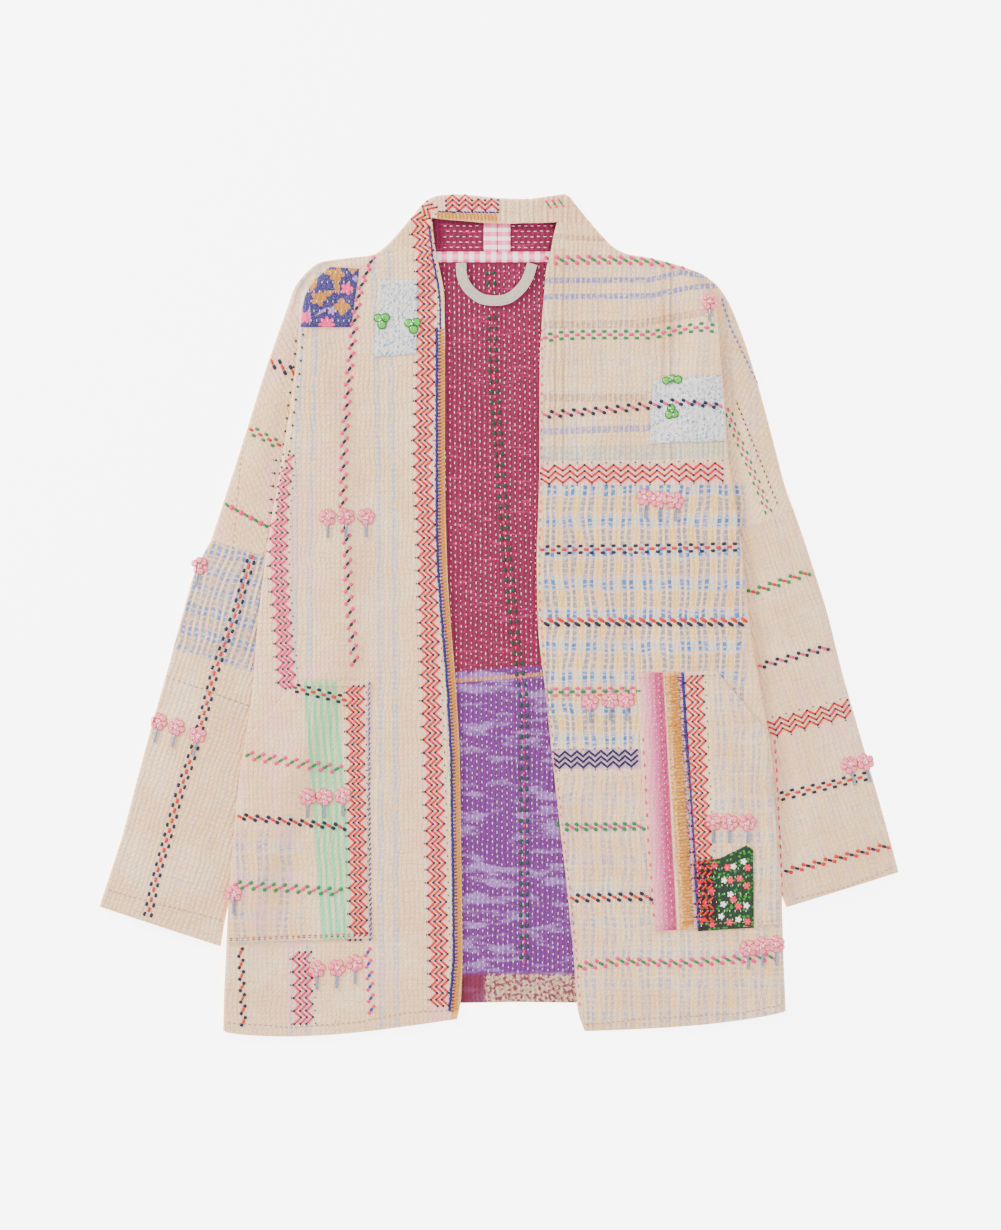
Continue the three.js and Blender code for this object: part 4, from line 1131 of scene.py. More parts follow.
def closedLayer(name, top, under, faces, rims, materials, node):
    # two faces and a rounded rim: slot 0 on top, slot 1 under, slot 2 round the edge
    count = len(top)
    upward = np.tile([0, 0, 1.0], (count, 1))
    rim, rimPoints = rimOf((top + under) / 2, rims, upward, 2 * count)
    for a in rim:
        top[a][2] -= (top[a][2] - under[a][2]) * cloth["edgeRound"]
    points = np.vstack([top, under, rimPoints])
    solid, slots = [], []
    for face in faces:
        solid += [tuple(face), tuple(v + count for v in face[::-1])]
        slots += [0, 1]
    for a, b in rims:
        solid += [(b, a, rim[a], rim[b]), (rim[b], rim[a], a + count, b + count)]
        slots += [2, 2]
    piece = finishPiece(name, points, solid, materials, slots, node)
    layCloth(piece.data, points[:, :2])
    piece.data.set_sharp_from_angle(angle=math.radians(70))
    keepSeat(points, solid)
    return piece


def foldPlace(front, y):
    # where a front's fold lies at this height down the body
    rows = named(frontColumns, front["rows"])[::-1]
    return float(np.interp(y, [row["foldY"] for row in rows], [row["foldX"] for row in rows]))


def appliedPiece(name, outline, thickness, front, materials, node, step=4.0):
    # a patch that follows what lies under it, its edge kept just inside the fold
    side = front["side"]
    edge = resampled(outline, step)
    for point in edge:
        limit = foldPlace(front, point[1]) + side * 1.6
        point[0] = max(point[0], limit) if side > 0 else min(point[0], limit)
    points, faces, rims = cellsOf(edge, step)
    top, under = [], []
    for x, y in points:
        hit, normal = seatAt(x, y)
        normal = normal + np.array([0, 0, 0.6])
        normal /= np.linalg.norm(normal)
        under.append(hit + normal * cloth["gap"])
        top.append(hit + normal * (cloth["gap"] + thickness))
    return closedLayer(name, np.array(top), np.array(under), faces, rims, materials, node)


outlines = {
    "right_pocket": [
        [-123.5, -62.5], [-191, -62], [-243, -120.5], [-263, -311.5], [-119.5, -307], [-125.5, -271]],
    "left_pocket": [
        [130, -55], [206, -53], [253.5, -109], [271, -293.5], [148, -300], [138.5, -214], [134, -119]],
    "shoulder_patch": [[-182.5, 322], [-173, 330.5], [-133, 328.5], [-140.5, 273.5], [-188, 273]],
    "neck_patch": [[-113, 318], [-77, 317.5], [-79, 248], [-119, 245]],
    "chest_patch": [[146.5, 223], [213, 228], [215.5, 165.5], [143.5, 162.5]],
    "pocket_patch": [
        [185, -234.5], [210, -231], [234.5, -218.5], [240.5, -222.5], [241.5, -296.5], [189, -300]],
}
patchFinish, neckFinish, chestFinish, pocketPrint = (
    navyPrint(), palePrint("pale_leaf_print", 2.0), palePrint("pale_sprig_print", 5.0), leafPrint())
rightPocketFinish = quiltedCotton("right_pocket_quilted_cotton", 3.0, rightPocketPaint)
leftPocketFinish = quiltedCotton("left_pocket_quilted_cotton", 4.0, leftPocketPaint)
appliedParts = [
    ("right_pocket", cloth["pocketWall"], rightFront, [rightPocketFinish, inner, rimFinish], "cream_quilt"),
    ("left_pocket", cloth["pocketWall"], leftFront, [leftPocketFinish, inner, rimFinish], "cream_quilt"),
    ("shoulder_patch", cloth["patchWall"], rightFront, [patchFinish] * 3, "patch_print"),
    ("neck_patch", cloth["patchWall"], rightFront, [neckFinish] * 3, "pale_print"),
    ("chest_patch", cloth["patchWall"], leftFront, [chestFinish] * 3, "pale_print"),
    ("pocket_patch", cloth["patchWall"], leftFront, [pocketPrint] * 3, "green_print"),
]
for node, thickness, front, materials, slotName in appliedParts:
    appliedPiece(node + "_cloth", outlines[node], thickness, front, materials, node)
print("pockets and patches made")


def backPiece():
    # the frame's own back, cut into small cells, with a soft relief where it lies open
    bm = bmesh.new()
    bm.from_mesh(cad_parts["back"].data)
    bmesh.ops.scale(bm, vec=(1000, 1000, 1000), verts=bm.verts[:])
    bmesh.ops.remove_doubles(bm, verts=bm.verts[:], dist=0.01)
    bmesh.ops.dissolve_limit(bm, angle_limit=0.02, verts=bm.verts[:], edges=bm.edges[:])
    corner = np.array([v.co[:2] for v in bm.verts])
    gridLines(bm, corner.min(axis=0), corner.max(axis=0), 7.0)
    bmesh.ops.remove_doubles(bm, verts=bm.verts[:], dist=0.01)
    bm.verts.index_update()
    bm.normal_update()
    points = np.array([v.co[:] for v in bm.verts])
    clear = ease((325 - points[:, 1]) / 30) * (points[:, 2] > 1.9)
    for front in (rightFront, leftFront):
        rows = named(frontColumns, front["rows"])[::-1]
        edge = np.interp(points[:, 1], [row["edgeY"] for row in rows], [row["edgeX"] for row in rows])
        clear *= ease(((points[:, 0] - edge) * front["side"] - 2) / 12)
    points[:, 2] += clear * swell(points[:, 0], points[:, 1], 17) * 0.9
    faces = [[v.index for v in face.verts] for face in bm.faces]
    slots = [0 if face.normal.z > 0.5 else 1 if face.normal.z < -0.5 else 2 for face in bm.faces]
    bm.free()
    materials = [inner, quiltedCotton("back_quilted_cotton", 7.0, backPaint), rimFinish]
    piece = finishPiece("back_cloth", points, faces, materials, slots, "back")
    layCloth(piece.data, points[:, :2])
    piece.data.set_sharp_from_angle(angle=math.radians(50))
    keepSeat(points, faces)
    return piece


backCloth = backPiece()
print("back made")

tapeSides = {
    "neck_tape": [-66, 50, 335.2, 344.8], "right_collar_tape": [-14.2, -1.9, 345.1, 376],
    "left_collar_tape": [-0.9, 10.6, 345.1, 376],
}
neckChecks = checkTape("pink_check_tape", 0.65, 0.3, 10.4)
collarChecks = checkTape("pink_band_tape", 0.15, 0.7, 8.2)


def tapePiece(name, sides):
    left, right, bottom, top = sides
    cut = 1.2
    outline = [[left + cut, bottom], [right - cut, bottom], [right, bottom + cut], [right, top - cut],
               [right - cut, top], [left + cut, top], [left, top - cut], [left, bottom + cut]]
    points, faces, rims = cellsOf(resampled(outline, 3.0), 3.0)
    wave = swell(points[:, 0] * 2.4, points[:, 1] * 2.4, 5) * 0.5
    low = np.full(len(points), cloth["onBack"])
    over = np.column_stack([points, low + cloth["tapeWall"] + wave])
    checks = neckChecks if name == "neck_tape" else collarChecks
    return closedLayer(name + "_cloth", over, np.column_stack([points, low]), faces, rims, [checks] * 3,
                       name)


tapes = {name: tapePiece(name, sides) for name, sides in tapeSides.items()}

loop = {
    "width": 9.5, "thickness": 3.0, "steps": 60, "crown": 0.3, "path": [
        [-36, 334.2], [-35, 322], [-29.5, 310.5], [-18, 301], [-4, 298.5], [9.5, 301], [21, 310.5],
        [27.5, 321], [31.5, 333.4]],
}


def smoothRoute(points, count):
    # an even run of points on a smooth curve through the given ones
    points = np.asarray(points, float)
    ends = np.vstack([2 * points[0] - points[1], points, 2 * points[-1] - points[-2]])
    fine = []
    for k in range(len(points) - 1):
        a, b, c, d = ends[k:k + 4]
        for t in np.linspace(0, 1, 24, endpoint=False):
            bend = (2 * a - 5 * b + 4 * c - d) * t**2 + (3 * b - a - 3 * c + d) * t**3
            fine.append(0.5 * (2 * b + (c - a) * t + bend))
    fine = np.array(fine + [points[-1]])
    far = np.concatenate([[0], np.cumsum(np.linalg.norm(np.diff(fine, axis=0), axis=1))])
    at = np.linspace(0, far[-1], count)
    return np.column_stack([np.interp(at, far, fine[:, axis]) for axis in range(points.shape[1])]), far[-1]


def loopPiece():
    route, length = smoothRoute(loop["path"], loop["steps"] + 1)
    tangent = np.gradient(route, axis=0)
    tangent /= np.linalg.norm(tangent, axis=1, keepdims=True)
    across = np.column_stack([-tangent[:, 1], tangent[:, 0]])
    places = np.linspace(-0.5, 0.5, 9)
    grid = np.zeros((len(route), len(places), 3))
    grid[..., :2] = route[:, None] + across[:, None] * (places * loop["width"])[None, :, None]
    grid[..., 2] = cloth["onBack"] + loop["thickness"] / 2 + loop["crown"] * (1 - (2 * places) ** 2)[None, :]
    plane = np.zeros(grid.shape[:2] + (2,))
    plane[..., 0] = (places * loop["width"])[None, :]
    plane[..., 1] = np.linspace(0, length, len(route))[:, None]
    return sheetPiece("hanging_loop_band", grid, gridNormals(grid, False, 1), loop["thickness"] * 0.85,
                      [bandCloth()] * 3, "hanging_loop", plane=plane)


loopPiece()
print("tapes and loop made")

threads = {}
stitching = {
    "rings": [(0.1, 0.25, 0.85), (0.5, 0.55, 1.0), (0.9, 0.25, 0.85)], "sink": 0.3, "flat": 0.7,
    "steep": 2.5, "slope": 0.38,
}


def threadFinish(name):
    # cotton thread, a little darker in places
    if name not in threads:
        finish = Finish("thread_" + name, 0.7, 0.0)
        x, y = finish.place()
        fine = finish.noise(x, y, 1.1, 2.0, 4.0)
        full = tuple(c * 0.85 for c in tone(name)[:3]) + (1.0,)
        deep = tuple(c * 0.6 for c in full[:3]) + (1.0,)
        finish.colour(finish.mix(finish.span(fine, 0.35, 0.65, 0.0, 0.45), full, deep))
        threads[name] = finish.material
    return threads[name]


class Sewing:
    # the stitches of one piece, each a small closed capsule seated on the topmost cloth
    def __init__(self, name):
        self.name = name
        self.points, self.faces, self.slots, self.names = [], [], [], []
        self.rng = random.Random(len(name))

    def add(self, start, end, radius, thread):
        (ax, ay), (bx, by) = toPlan([start, end])
        first, last = seatAt(ax, ay), seatAt(bx, by)
        if first is None or last is None:
            return
        low, reach, up = first[0], last[0] - first[0], first[1] + last[1]
        length = np.linalg.norm(reach)
        if length < 0.3 or abs(reach[2]) > max(stitching["steep"], stitching["slope"] * length):
            return
        up = up - reach * np.dot(up, reach) / length**2
        up /= np.linalg.norm(up)
        side = np.cross(reach, up) / length
        points = [low - up * stitching["sink"]]
        for share, lift, thick in stitching["rings"]:
            middle = low + reach * share + up * lift
            across, above = side * radius * thick, up * radius * thick * stitching["flat"]
            points += [middle + across, middle + above, middle - across, middle - above]
        points.append(last[0] - up * stitching["sink"])
        base = len(self.points)
        faces = []
        for k in range(4):
            n = (k + 1) % 4
            faces += [(0, 1 + k, 1 + n), (13, 9 + n, 9 + k)]
            faces += [(r + k, r + 4 + k, r + 4 + n, r + n) for r in (1, 5)]
        if thread not in self.names:
            self.names.append(thread)
        self.points += points
        self.faces += [tuple(v + base for v in face) for face in faces]
        self.slots += [self.names.index(thread)] * len(faces)

    def make(self):
        materials = [threadFinish(name) for name in self.names]
        return finishPiece(self.name, self.points, self.faces, materials, self.slots)


def routeAt(route, step, start=0.0):
    # places at even steps along a bent line, the way it runs there, and the way aside
    route = np.asarray(route, float)
    far = np.concatenate([[0], np.cumsum(np.hypot(*np.diff(route, axis=0).T))])
    at = np.arange(start, far[-1] + 1e-6, step)
    places, ahead, behind = [
        np.column_stack([np.interp(np.clip(at + shift, 0, far[-1]), far, route[:, k]) for k in (0, 1)])
        for shift in (0, 2, -2)
    ]
    way = (ahead - behind) / np.hypot(*(ahead - behind).T)[:, None]
    return places, way, np.column_stack([-way[:, 1], way[:, 0]])


def dashes(sewing, route, pitch, length, radius, thread, aside=0.0, start=0.0, lean=0.0):
    for place, way, side in zip(*routeAt(route, pitch, start)):
        middle = place + side * (aside + sewing.rng.uniform(-0.25, 0.25))
        turned = lean + sewing.rng.uniform(-0.08, 0.08)
        reach = (way * math.cos(turned) + side * math.sin(turned)) * length / 2
        sewing.add(middle - reach, middle + reach, radius, thread)


def zigzag(sewing, route, thread, tick, lines=(-6.0, 0.0, 6.0), period=13.0, height=3.4, radius=1.1):
    places, ways, sides = routeAt(route, period / 2)
    for line in lines:
        points = [place + side * (line + height * (1 if k % 2 else -1))
                  for k, (place, side) in enumerate(zip(places, sides))]
        for a, b in zip(points, points[1:]):
            sewing.add(a + (b - a) * 0.06, b - (b - a) * 0.06, radius, thread)
        for point, way in zip(points, ways):
            sewing.add(point - way * 1.3, point + way * 1.3, radius, tick)
    if len(lines) > 1:
        for aside in (lines[0] - height - 2.4, lines[-1] + height + 2.4):
            dashes(sewing, route, period, 1.8, 0.6, tick, aside, period / 2)


threeParts = ((-0.54, -0.2, 0, 1.1), (-0.2, 0.2, 1, 0.9), (0.2, 0.54, 0, 1.1))
twoParts = ((-0.54, 0.04, 0, 1.05), (0.04, 0.54, 1, 1.05))


def twist(sewing, route, pitch, lean, ends, middle, parts=threeParts, radius=1.55):
    # slanted stitches in two colours, lean being one whole stitch in pixels
    lean = np.array(lean, float)
    for place in routeAt(route, pitch)[0]:
        for low, high, pick, thick in parts:
            sewing.add(place + lean * low, place + lean * high, radius * thick, (ends, middle)[pick])


def checker(sewing, route, pitch, middle, sides, apart=3.4, length=4.8, radius=1.45):
    dashes(sewing, route, pitch, length + 0.8, radius, middle)
    for aside in (-apart, apart):
        dashes(sewing, route, pitch, length, radius, sides, aside, pitch / 2)


edgeRight = [(445, 330), (445, 530), (447, 577), (451, 630), (456, 690), (459.5, 760), (460.6, 830),
             (461.6, 900), (462, 960), (457.5, 1012)]
edgeLeft = [(539.5, 331), (539.5, 460), (538, 510), (537, 556), (538, 620), (546, 694), (553, 765),
            (560, 825), (567, 885), (574, 955), (578, 1010)]
neckRight = [(434, 228), (437, 258), (440, 272), (443, 288), (444.3, 300), (444.8, 332)]
sleeveSeam = [(252, 557), (243, 587), (237, 611), (227, 638), (215, 671), (208, 700), (194.5, 749),
              (180, 792), (168, 837), (158, 871), (147, 920)]
chestLine = [(545, 338), (560, 336), (580, 335), (650, 335), (680, 330), (700, 327.5), (716, 329)]
armholeLeft = [(722, 300), (730, 327), (740, 348), (758, 385), (775, 425), (792, 468)]
armBand = [(728, 410), (733, 427), (741, 446), (753, 475), (768, 512)]
insideColumn = [[(490, 268), (491, 292)],
                [(491.5, 313), (493, 370), (505, 540), (515, 640), (524, 700), (524, 965)]]

sewing = Sewing("right_front_stitches")
zigzag(sewing, [(498, 203), (440, 204)], "red", "navy", (-4.6, 0.6, 5.4), 13.0, 2.8)
zigzag(sewing, [(429, 203), (421, 216), (420, 228), (423, 245), (426, 262), (426.5, 320),
                (424.8, 400), (422.5, 440), (423.3, 480), (425.6, 520), (427, 555), (430.5, 676), (435, 816),
                (438.5, 950), (440, 1012)], "red", "navy", (-5.6, 0.0, 5.6))
dashes(sewing, edgeRight, 5.0, 5.6, 1.35, "ink", 8.3)
dashes(sewing, edgeRight, 5.0, 1.6, 0.45, "white", 10.6)
dashes(sewing, neckRight, 4.6, 5.0, 1.0, "ink", 4.4)
dashes(sewing, edgeRight, 3.4, 5.8, 1.1, "gold", 3.2, 0.0, 1.35)
dashes(sewing, edgeRight, 3.4, 3.4, 0.8, "purple", 5.6, 1.7, 1.35)
dashes(sewing, [(438, 215.5), (498, 218.5)], 3.6, 7.0, 1.1, "gold", 0.0, 0.0, 1.3)
dashes(sewing, [(438, 212), (498, 213)], 3.6, 3.6, 0.8, "ink", 0.0, 1.8, 0.3)
twist(sewing, [(371, 262), (360, 290), (355, 320), (350, 365), (344.5, 440), (343, 510), (347, 540),
               (349, 600), (355.5, 668)], 12.2, (7.7, -9.8), "pink", "navy")
zigzag(sewing, [(300, 335), (297, 370), (292, 405), (286, 455)], "pink", "leaf", (0.0,))
zigzag(sewing, [(286, 455), (281, 500), (279, 560), (284, 630), (288.5, 690)], "pink", "leaf",
       (-4.6, 0.6, 5.8))
twist(sewing, [(241, 952), (244, 1026)], 11.5, (5.0, -10.0), "navy", "red")
zigzag(sewing, [(302, 952), (304, 1028)], "hotPink", "navy", (-6.0, 0.0, 6.0))
twist(sewing, [(368, 952), (372, 1018)], 11.5, (6.0, -9.0), "pink", "blue")
dashes(sewing, [(224, 1022), (290, 1027), (350, 1023), (410, 1012), (452, 1010)], 5.2, 3.2, 0.45, "creamDark")
dashes(sewing, [(268, 262), (240, 470), (232, 560)], 6.0, 3.2, 0.4, "creamDark")
sewing.make()

sewing = Sewing("right_arm_stitches")
twist(sewing, [(272, 362), (295, 374)], 12.0, (7.0, 15.0), "navy", "red")
checker(sewing, [(251, 430), (281, 446)], 10.6, "red", "green")
twist(sewing, [(227, 505), (268, 527)], 11.0, (12.0, 9.0), "pink", "green")
sewing.make()

sewing = Sewing("right_sleeve_stitches")
checker(sewing, sleeveSeam, 10.2, "red", "navy")
dashes(sewing, [(110, 890), (165, 905), (223, 920)], 5.2, 3.2, 0.45, "creamDark")
dashes(sewing, [(168, 677), (208, 691), (250, 706)], 6.0, 3.4, 0.5, "grey")
sewing.make()

sewing = Sewing("right_pocket_stitches")
zigzag(sewing, [(356, 686), (356.5, 760), (358, 850), (359.5, 940)], "red", "navy", (-4.6, 0.6, 5.8))
dashes(sewing, [(369, 684), (369.5, 800), (371, 940)], 5.0, 4.2, 0.7, "blue", 0.0, 0.0, 0.5)
checker(sewing, [(293, 687), (346, 700)], 10.6, "red", "navy")
twist(sewing, [(248, 755), (344, 770)], 11.2, (12.0, -7.0), "pink", "green")
twist(sewing, [(240, 816), (344, 827)], 11.2, (12.0, 7.0), "navy", "red")
twist(sewing, [(236, 884), (344, 892)], 11.2, (12.0, -7.0), "green", "pink")
dashes(sewing, [(226, 938), (370, 933)], 5.6, 3.4, 0.5, "red")
dashes(sewing, [(228.8, 940), (370, 935)], 5.6, 2.4, 0.45, "navy", 0.0, 2.8)
dashes(sewing, [(301, 683), (368, 684)], 4.6, 3.0, 0.4, "creamDark", 3.0)
sewing.make()

sewing = Sewing("left_front_stitches")
twist(sewing, [(551, 261), (600, 260), (640, 261), (688, 266)], 10.6, (12.5, 8.0), "pink", "green")
checker(sewing, chestLine, 10.8, "pink", "green")
twist(sewing, [(545, 415), (620, 409), (680, 402), (722, 407)], 11.0, (11.5, 6.0), "navy", "pink")
zigzag(sewing, [(541, 476), (560, 474), (640, 474), (728, 472)], "red", "navy", (-6.0, 0.0, 6.0), 14.5, 2.8)
checker(sewing, [(542, 550), (640, 549), (744, 547)], 11.0, "red", "navy")
twist(sewing, [(543, 622), (640, 622), (748, 622)], 10.2, (12.6, 7.8), "red", "navy", twoParts)
checker(sewing, [(550, 692), (640, 691)], 11.0, "green", "pink")
zigzag(sewing, [(553, 760), (640, 758)], "navy", "ink", (-5.6, 0.0, 5.6), 12.0, 2.6)
twist(sewing, [(562, 827), (642, 826)], 9.6, (12.6, 7.0), "green", "pink")
twist(sewing, [(572, 898), (650, 896)], 10.6, (12.6, 7.4), "navy", "red")
twist(sewing, [(580, 966), (620, 961), (680, 963), (776, 956)], 10.6, (12.0, 7.0), "pink", "green")
dashes(sewing, [(587, 1024), (650, 1018), (740, 1013), (782, 1004)], 5.2, 3.2, 0.45, "creamDark")
dashes(sewing, edgeLeft, 9.0, 4.0, 0.55, "pink", -2.2)
twist(sewing, [(548, 205), (562, 203)], 6.4, (5.5, 8.0), "pink", "green", radius=1.0)
sewing.make()

sewing = Sewing("left_arm_stitches")
dashes(sewing, armholeLeft, 5.6, 3.6, 0.9, "blueLilac")
checker(sewing, armBand, 10.4, "pink", "green", 2.8, 4.4, 0.95)
dashes(sewing, [(737, 404), (750, 437), (778, 506)], 5.6, 3.0, 0.7, "brown")
sewing.make()

sewing = Sewing("left_sleeve_stitches")
twist(sewing, [(753, 592), (812, 571)], 11.0, (12.0, 3.0), "green", "red")
twist(sewing, [(760, 666), (832, 646)], 11.0, (11.5, 3.0), "navy", "pink")
zigzag(sewing, [(768, 729), (851, 707.5)], "red", "navy", (-5.6, 0.0, 5.6), 14.0, 2.8)
checker(sewing, [(777, 797), (870, 775)], 10.6, "red", "navy")
twist(sewing, [(786, 871), (889, 845)], 11.2, (12.5, 3.0), "red", "navy")
dashes(sewing, [(797, 898), (845, 887), (892, 868)], 5.2, 3.2, 0.45, "creamDark")
sewing.make()

sewing = Sewing("left_pocket_stitches")
zigzag(sewing, [(693.5, 676), (697, 760), (702, 850), (706, 924)], "red", "navy", (-5.6, 0.0, 5.6))
dashes(sewing, [(673, 676), (681, 800), (689, 926)], 3.4, 11.0, 0.85, "gold", 0.0, 0.0, 1.5)
dashes(sewing, [(682.5, 676), (690.8, 800), (699, 926)], 5.0, 5.4, 0.9, "ink")
dashes(sewing, [(684.5, 676), (692.8, 800), (701, 926)], 5.0, 1.6, 0.45, "white")
dashes(sewing, [(643, 740), (648, 840), (654, 922)], 12.5, 4.2, 0.75, "hotPink")
dashes(sewing, [(775, 742), (780, 840), (783, 926)], 9.5, 5.0, 0.8, "pink")
dashes(sewing, [(640, 674), (716, 671)], 4.6, 3.0, 0.4, "creamDark", 4.0)
dashes(sewing, [(656, 926), (780, 920)], 4.6, 3.0, 0.4, "creamDark")
for column in range(5):
    start = 648 + column * 5.2
    dashes(sewing, [(start, 678), (start + 14, 924)], 6.2, 1.8, 0.45, "white", 0.0, column % 2 * 3.1)
sewing.make()

sewing = Sewing("inside_stitches")
for column in range(34):
    start = 444 + column * 5.0
    for place, way, _ in zip(*routeAt([(start, 266), (start + 4, 972)], 6.2, column % 3 * 2.0)):
        seat = seatAt(*toPlan([place])[0])
        if seat is not None and seat[0][2] < 3.1:
            middle = place + np.array([sewing.rng.uniform(-0.5, 0.5), sewing.rng.uniform(-0.9, 0.9)])
            half = sewing.rng.uniform(0.7, 1.7)
            sewing.add(middle - way * half, middle + way * half, 0.42, "white")
for row in range(5):
    level = 226 + row * 5.4
    for left, right in ((445, 482), (513, 556)):
        dashes(sewing, [(left, level), (right, level)], 6.4, 3.4, 0.42, "white", 0.0, row % 2 * 3.0)
for route in insideColumn:
    dashes(sewing, route, 10.5, 3.6, 1.1, "hotPink")
    for aside in (-3.2, 3.2):
        dashes(sewing, route, 10.5, 4.6, 1.75, "leaf", aside, 5.2)
sewing.make()

sewing = Sewing("patch_stitches")
for row in range(6):
    level = 273 + row * 9.6
    for place, _, _ in zip(*routeAt([(309, level), (353, level)], 5.4, row % 2 * 2.5)):
        sewing.add(place - (0, 1.2), place + (0, 1.2), 0.4, "white")
for row in range(7):
    level = 868 + row * 8.5
    for place, _, _ in zip(*routeAt([(700, level), (746, level)], 5.4, row % 2 * 2.5)):
        sewing.add(place - (0, 1.1), place + (0, 1.1), 0.35, "white")
sewing.make()
print("stitches made")


def solidFinish(name, code, roughness, metallic=0.0, coat=0.0):
    finish = Finish(name, roughness, 0.0)
    finish.shader.inputs["Metallic"].default_value = metallic
    finish.shader.inputs["Coat Weight"].default_value = coat
    x, y = finish.place()
    fine = finish.noise(x, y, 0.5, 2.0, 3.0)
    deep = tuple(c * 0.72 for c in dye(code)[:3]) + (1.0,)
    finish.colour(finish.mix(finish.span(fine, 0.35, 0.65, 0.0, 0.6), dye(code), deep))
    return finish.material


trims = {
    "sequin": solidFinish("pink_sequin", "F2A9B2", 0.22, 0.0, 0.6),
    "rose": solidFinish("rose_sequin", "DF7482", 0.25, 0.0, 0.6),
    "silver": solidFinish("silver_bugle", "9BA3B4", 0.3, 0.45),
    "pearl": solidFinish("pearl_bead", "FFFAF6", 0.15, 0.0, 0.6),
    "lime": solidFinish("lime_bead", "74BC34", 0.2, 0.0, 0.7),
    "emerald": solidFinish("emerald_bead", "1B7420", 0.2, 0.0, 0.7),
}
trimNames = list(trims)
# a sequin flower: how far out its petals and its bugle bead start, in pixels, and radii in millimetres
petals = {
    "count": 6, "reach": 4.9, "stem": 7.5, "lower": 3.2, "upper": 2.5, "middleLower": 3.0,
    "middleUpper": 2.4, "size": 1.12, "beads": 10, "bead": 0.75,
}


class Trimming:
    # sequins, round beads and bugle beads, all closed and resting on the cloth
    def __init__(self, name):
        self.name = name
        self.points, self.faces, self.slots = [], [], []
        self.rng = random.Random(len(name) + 5)

    def perch(self, place):
        # where a trimming rests, and past a cloth edge at the last one's height
        x, y = toPlan([place])[0]
        seat = seatAt(x, y)
        if seat is None or seat[0][2] < self.last[0][2] - 2.5:
            seat = np.array([x, y, self.last[0][2]]), self.last[1]
        return seat

    def turned(self, seat, axis, profile, sides, kind):
        # a profile of (distance, height) turned about an upward axis
        across = np.cross(axis, [0.31, 0.95, 0.0])
        across /= np.linalg.norm(across)
        beside = np.cross(axis, across)
        base = len(self.points)
        for far, high in profile:
            for k in range(sides if far > 0 else 1):
                turn = 2 * math.pi * k / sides
                around = across * math.cos(turn) + beside * math.sin(turn)
                self.points.append(seat + axis * high + around * far)
        starts = [base]
        for far, _ in profile[:-1]:
            starts.append(starts[-1] + (sides if far > 0 else 1))
        for (farA, _), (farB, _), a, b in zip(profile, profile[1:], starts, starts[1:]):
            for k in range(sides):
                n = (k + 1) % sides
                if farA == 0:
                    face = (a, b + k, b + n)
                elif farB == 0:
                    face = (a + n, a + k, b)
                else:
                    face = (a + n, a + k, b + k, b + n)
                self.faces.append(face)
                self.slots.append(trimNames.index(kind))

    def sequin(self, x, y, radius, lift, tilt, kind):
        hit, normal = self.perch((x, y))
        axis = normal + np.array([tilt[0], -tilt[1], 0.0])
        axis /= np.linalg.norm(axis)
        profile = [(0, 0.25), (radius * 0.55, 0.4), (radius, 0.75), (radius * 0.98, 0.5),
                   (radius * 0.55, 0.15), (0, 0.0)]
        self.turned(hit + normal * lift, axis, profile, 10, kind)

    def bead(self, x, y, radius, lift, kind):
        hit, normal = self.perch((x, y))
        profile = [(radius * math.sin(math.pi * k / 5), radius * math.cos(math.pi * k / 5)) for k in range(6)]
        profile[0], profile[-1] = (0, radius), (0, -radius)
        self.turned(hit + normal * (lift + radius * 0.8), normal, profile, 7, kind)

    def bugle(self, x, y, way, length=13.0, radius=1.15):
        way = np.array(way, float) / np.hypot(*way)
        low, high = self.perch((x, y)), self.perch(np.array([x, y]) + way * length)
        start, end = low[0] + low[1] * radius, high[0] + high[1] * radius
        axis = end - start
        long = np.linalg.norm(axis)
        profile = [(0, long), (radius * 0.8, long), (radius, long * 0.97), (radius, long * 0.03),
                   (radius * 0.8, 0), (0, 0)]
        self.turned(start, axis / long, profile, 9, "silver")

    def flower(self, x, y, way):
        # petals of two sequins each, the smaller paler one on top, and glass beads in the middle
        self.last = seatAt(*toPlan([(x, y)])[0])
        self.bugle(x + way[0] * petals["stem"], y + way[1] * petals["stem"], way)
        size = petals["size"]
        first = self.rng.uniform(0, 1)
        for k in range(petals["count"]):
            turn = 2 * math.pi * k / petals["count"] + first + self.rng.uniform(-0.15, 0.15)
            out = np.array([math.cos(turn), math.sin(turn)])
            place = np.array([x, y]) + out * petals["reach"] * size
            lift = 0.25 + 0.3 * (k % 2)
            self.sequin(*place, petals["lower"] * size, lift, out * 0.25, "rose")
            self.sequin(*(place + out * 0.2), petals["upper"] * size, lift + 0.35, out * 0.25, "sequin")
        self.sequin(x, y, petals["middleLower"] * size, 1.0, (0.05, -0.05), "rose")
        self.sequin(x, y, petals["middleUpper"] * size, 1.3, (0.05, -0.05), "sequin")
        for k in range(petals["beads"]):
            turn = self.rng.uniform(0, 2 * math.pi)
            far = self.rng.uniform(0.4, 3.0) if k < 6 else self.rng.uniform(4.0, 6.8)
            kind = "pearl" if k < 8 else "rose"
            lift = 1.7 if far < 4 else 1.0
            self.bead(x + math.cos(turn) * far, y + math.sin(turn) * far, petals["bead"], lift, kind)

    def clover(self, x, y, lobes):
        self.last = seatAt(*toPlan([(x, y)])[0])
        for dx, dy, radius in lobes:
            self.sequin(x + dx, y + dy, radius * 1.2, 0.3, (dx * 0.03, dy * 0.03), "emerald")
            self.sequin(x + dx, y + dy, radius * 0.9, 0.7, (dx * 0.03, dy * 0.03), "lime")
        for k in range(9):
            turn = self.rng.uniform(0, 2 * math.pi)
            far = self.rng.uniform(0.0, 3.5)
            kind = ("emerald", "emerald", "pearl")[k % 3]
            self.bead(x + math.cos(turn) * far, y + math.sin(turn) * far, 0.8, 1.2, kind)

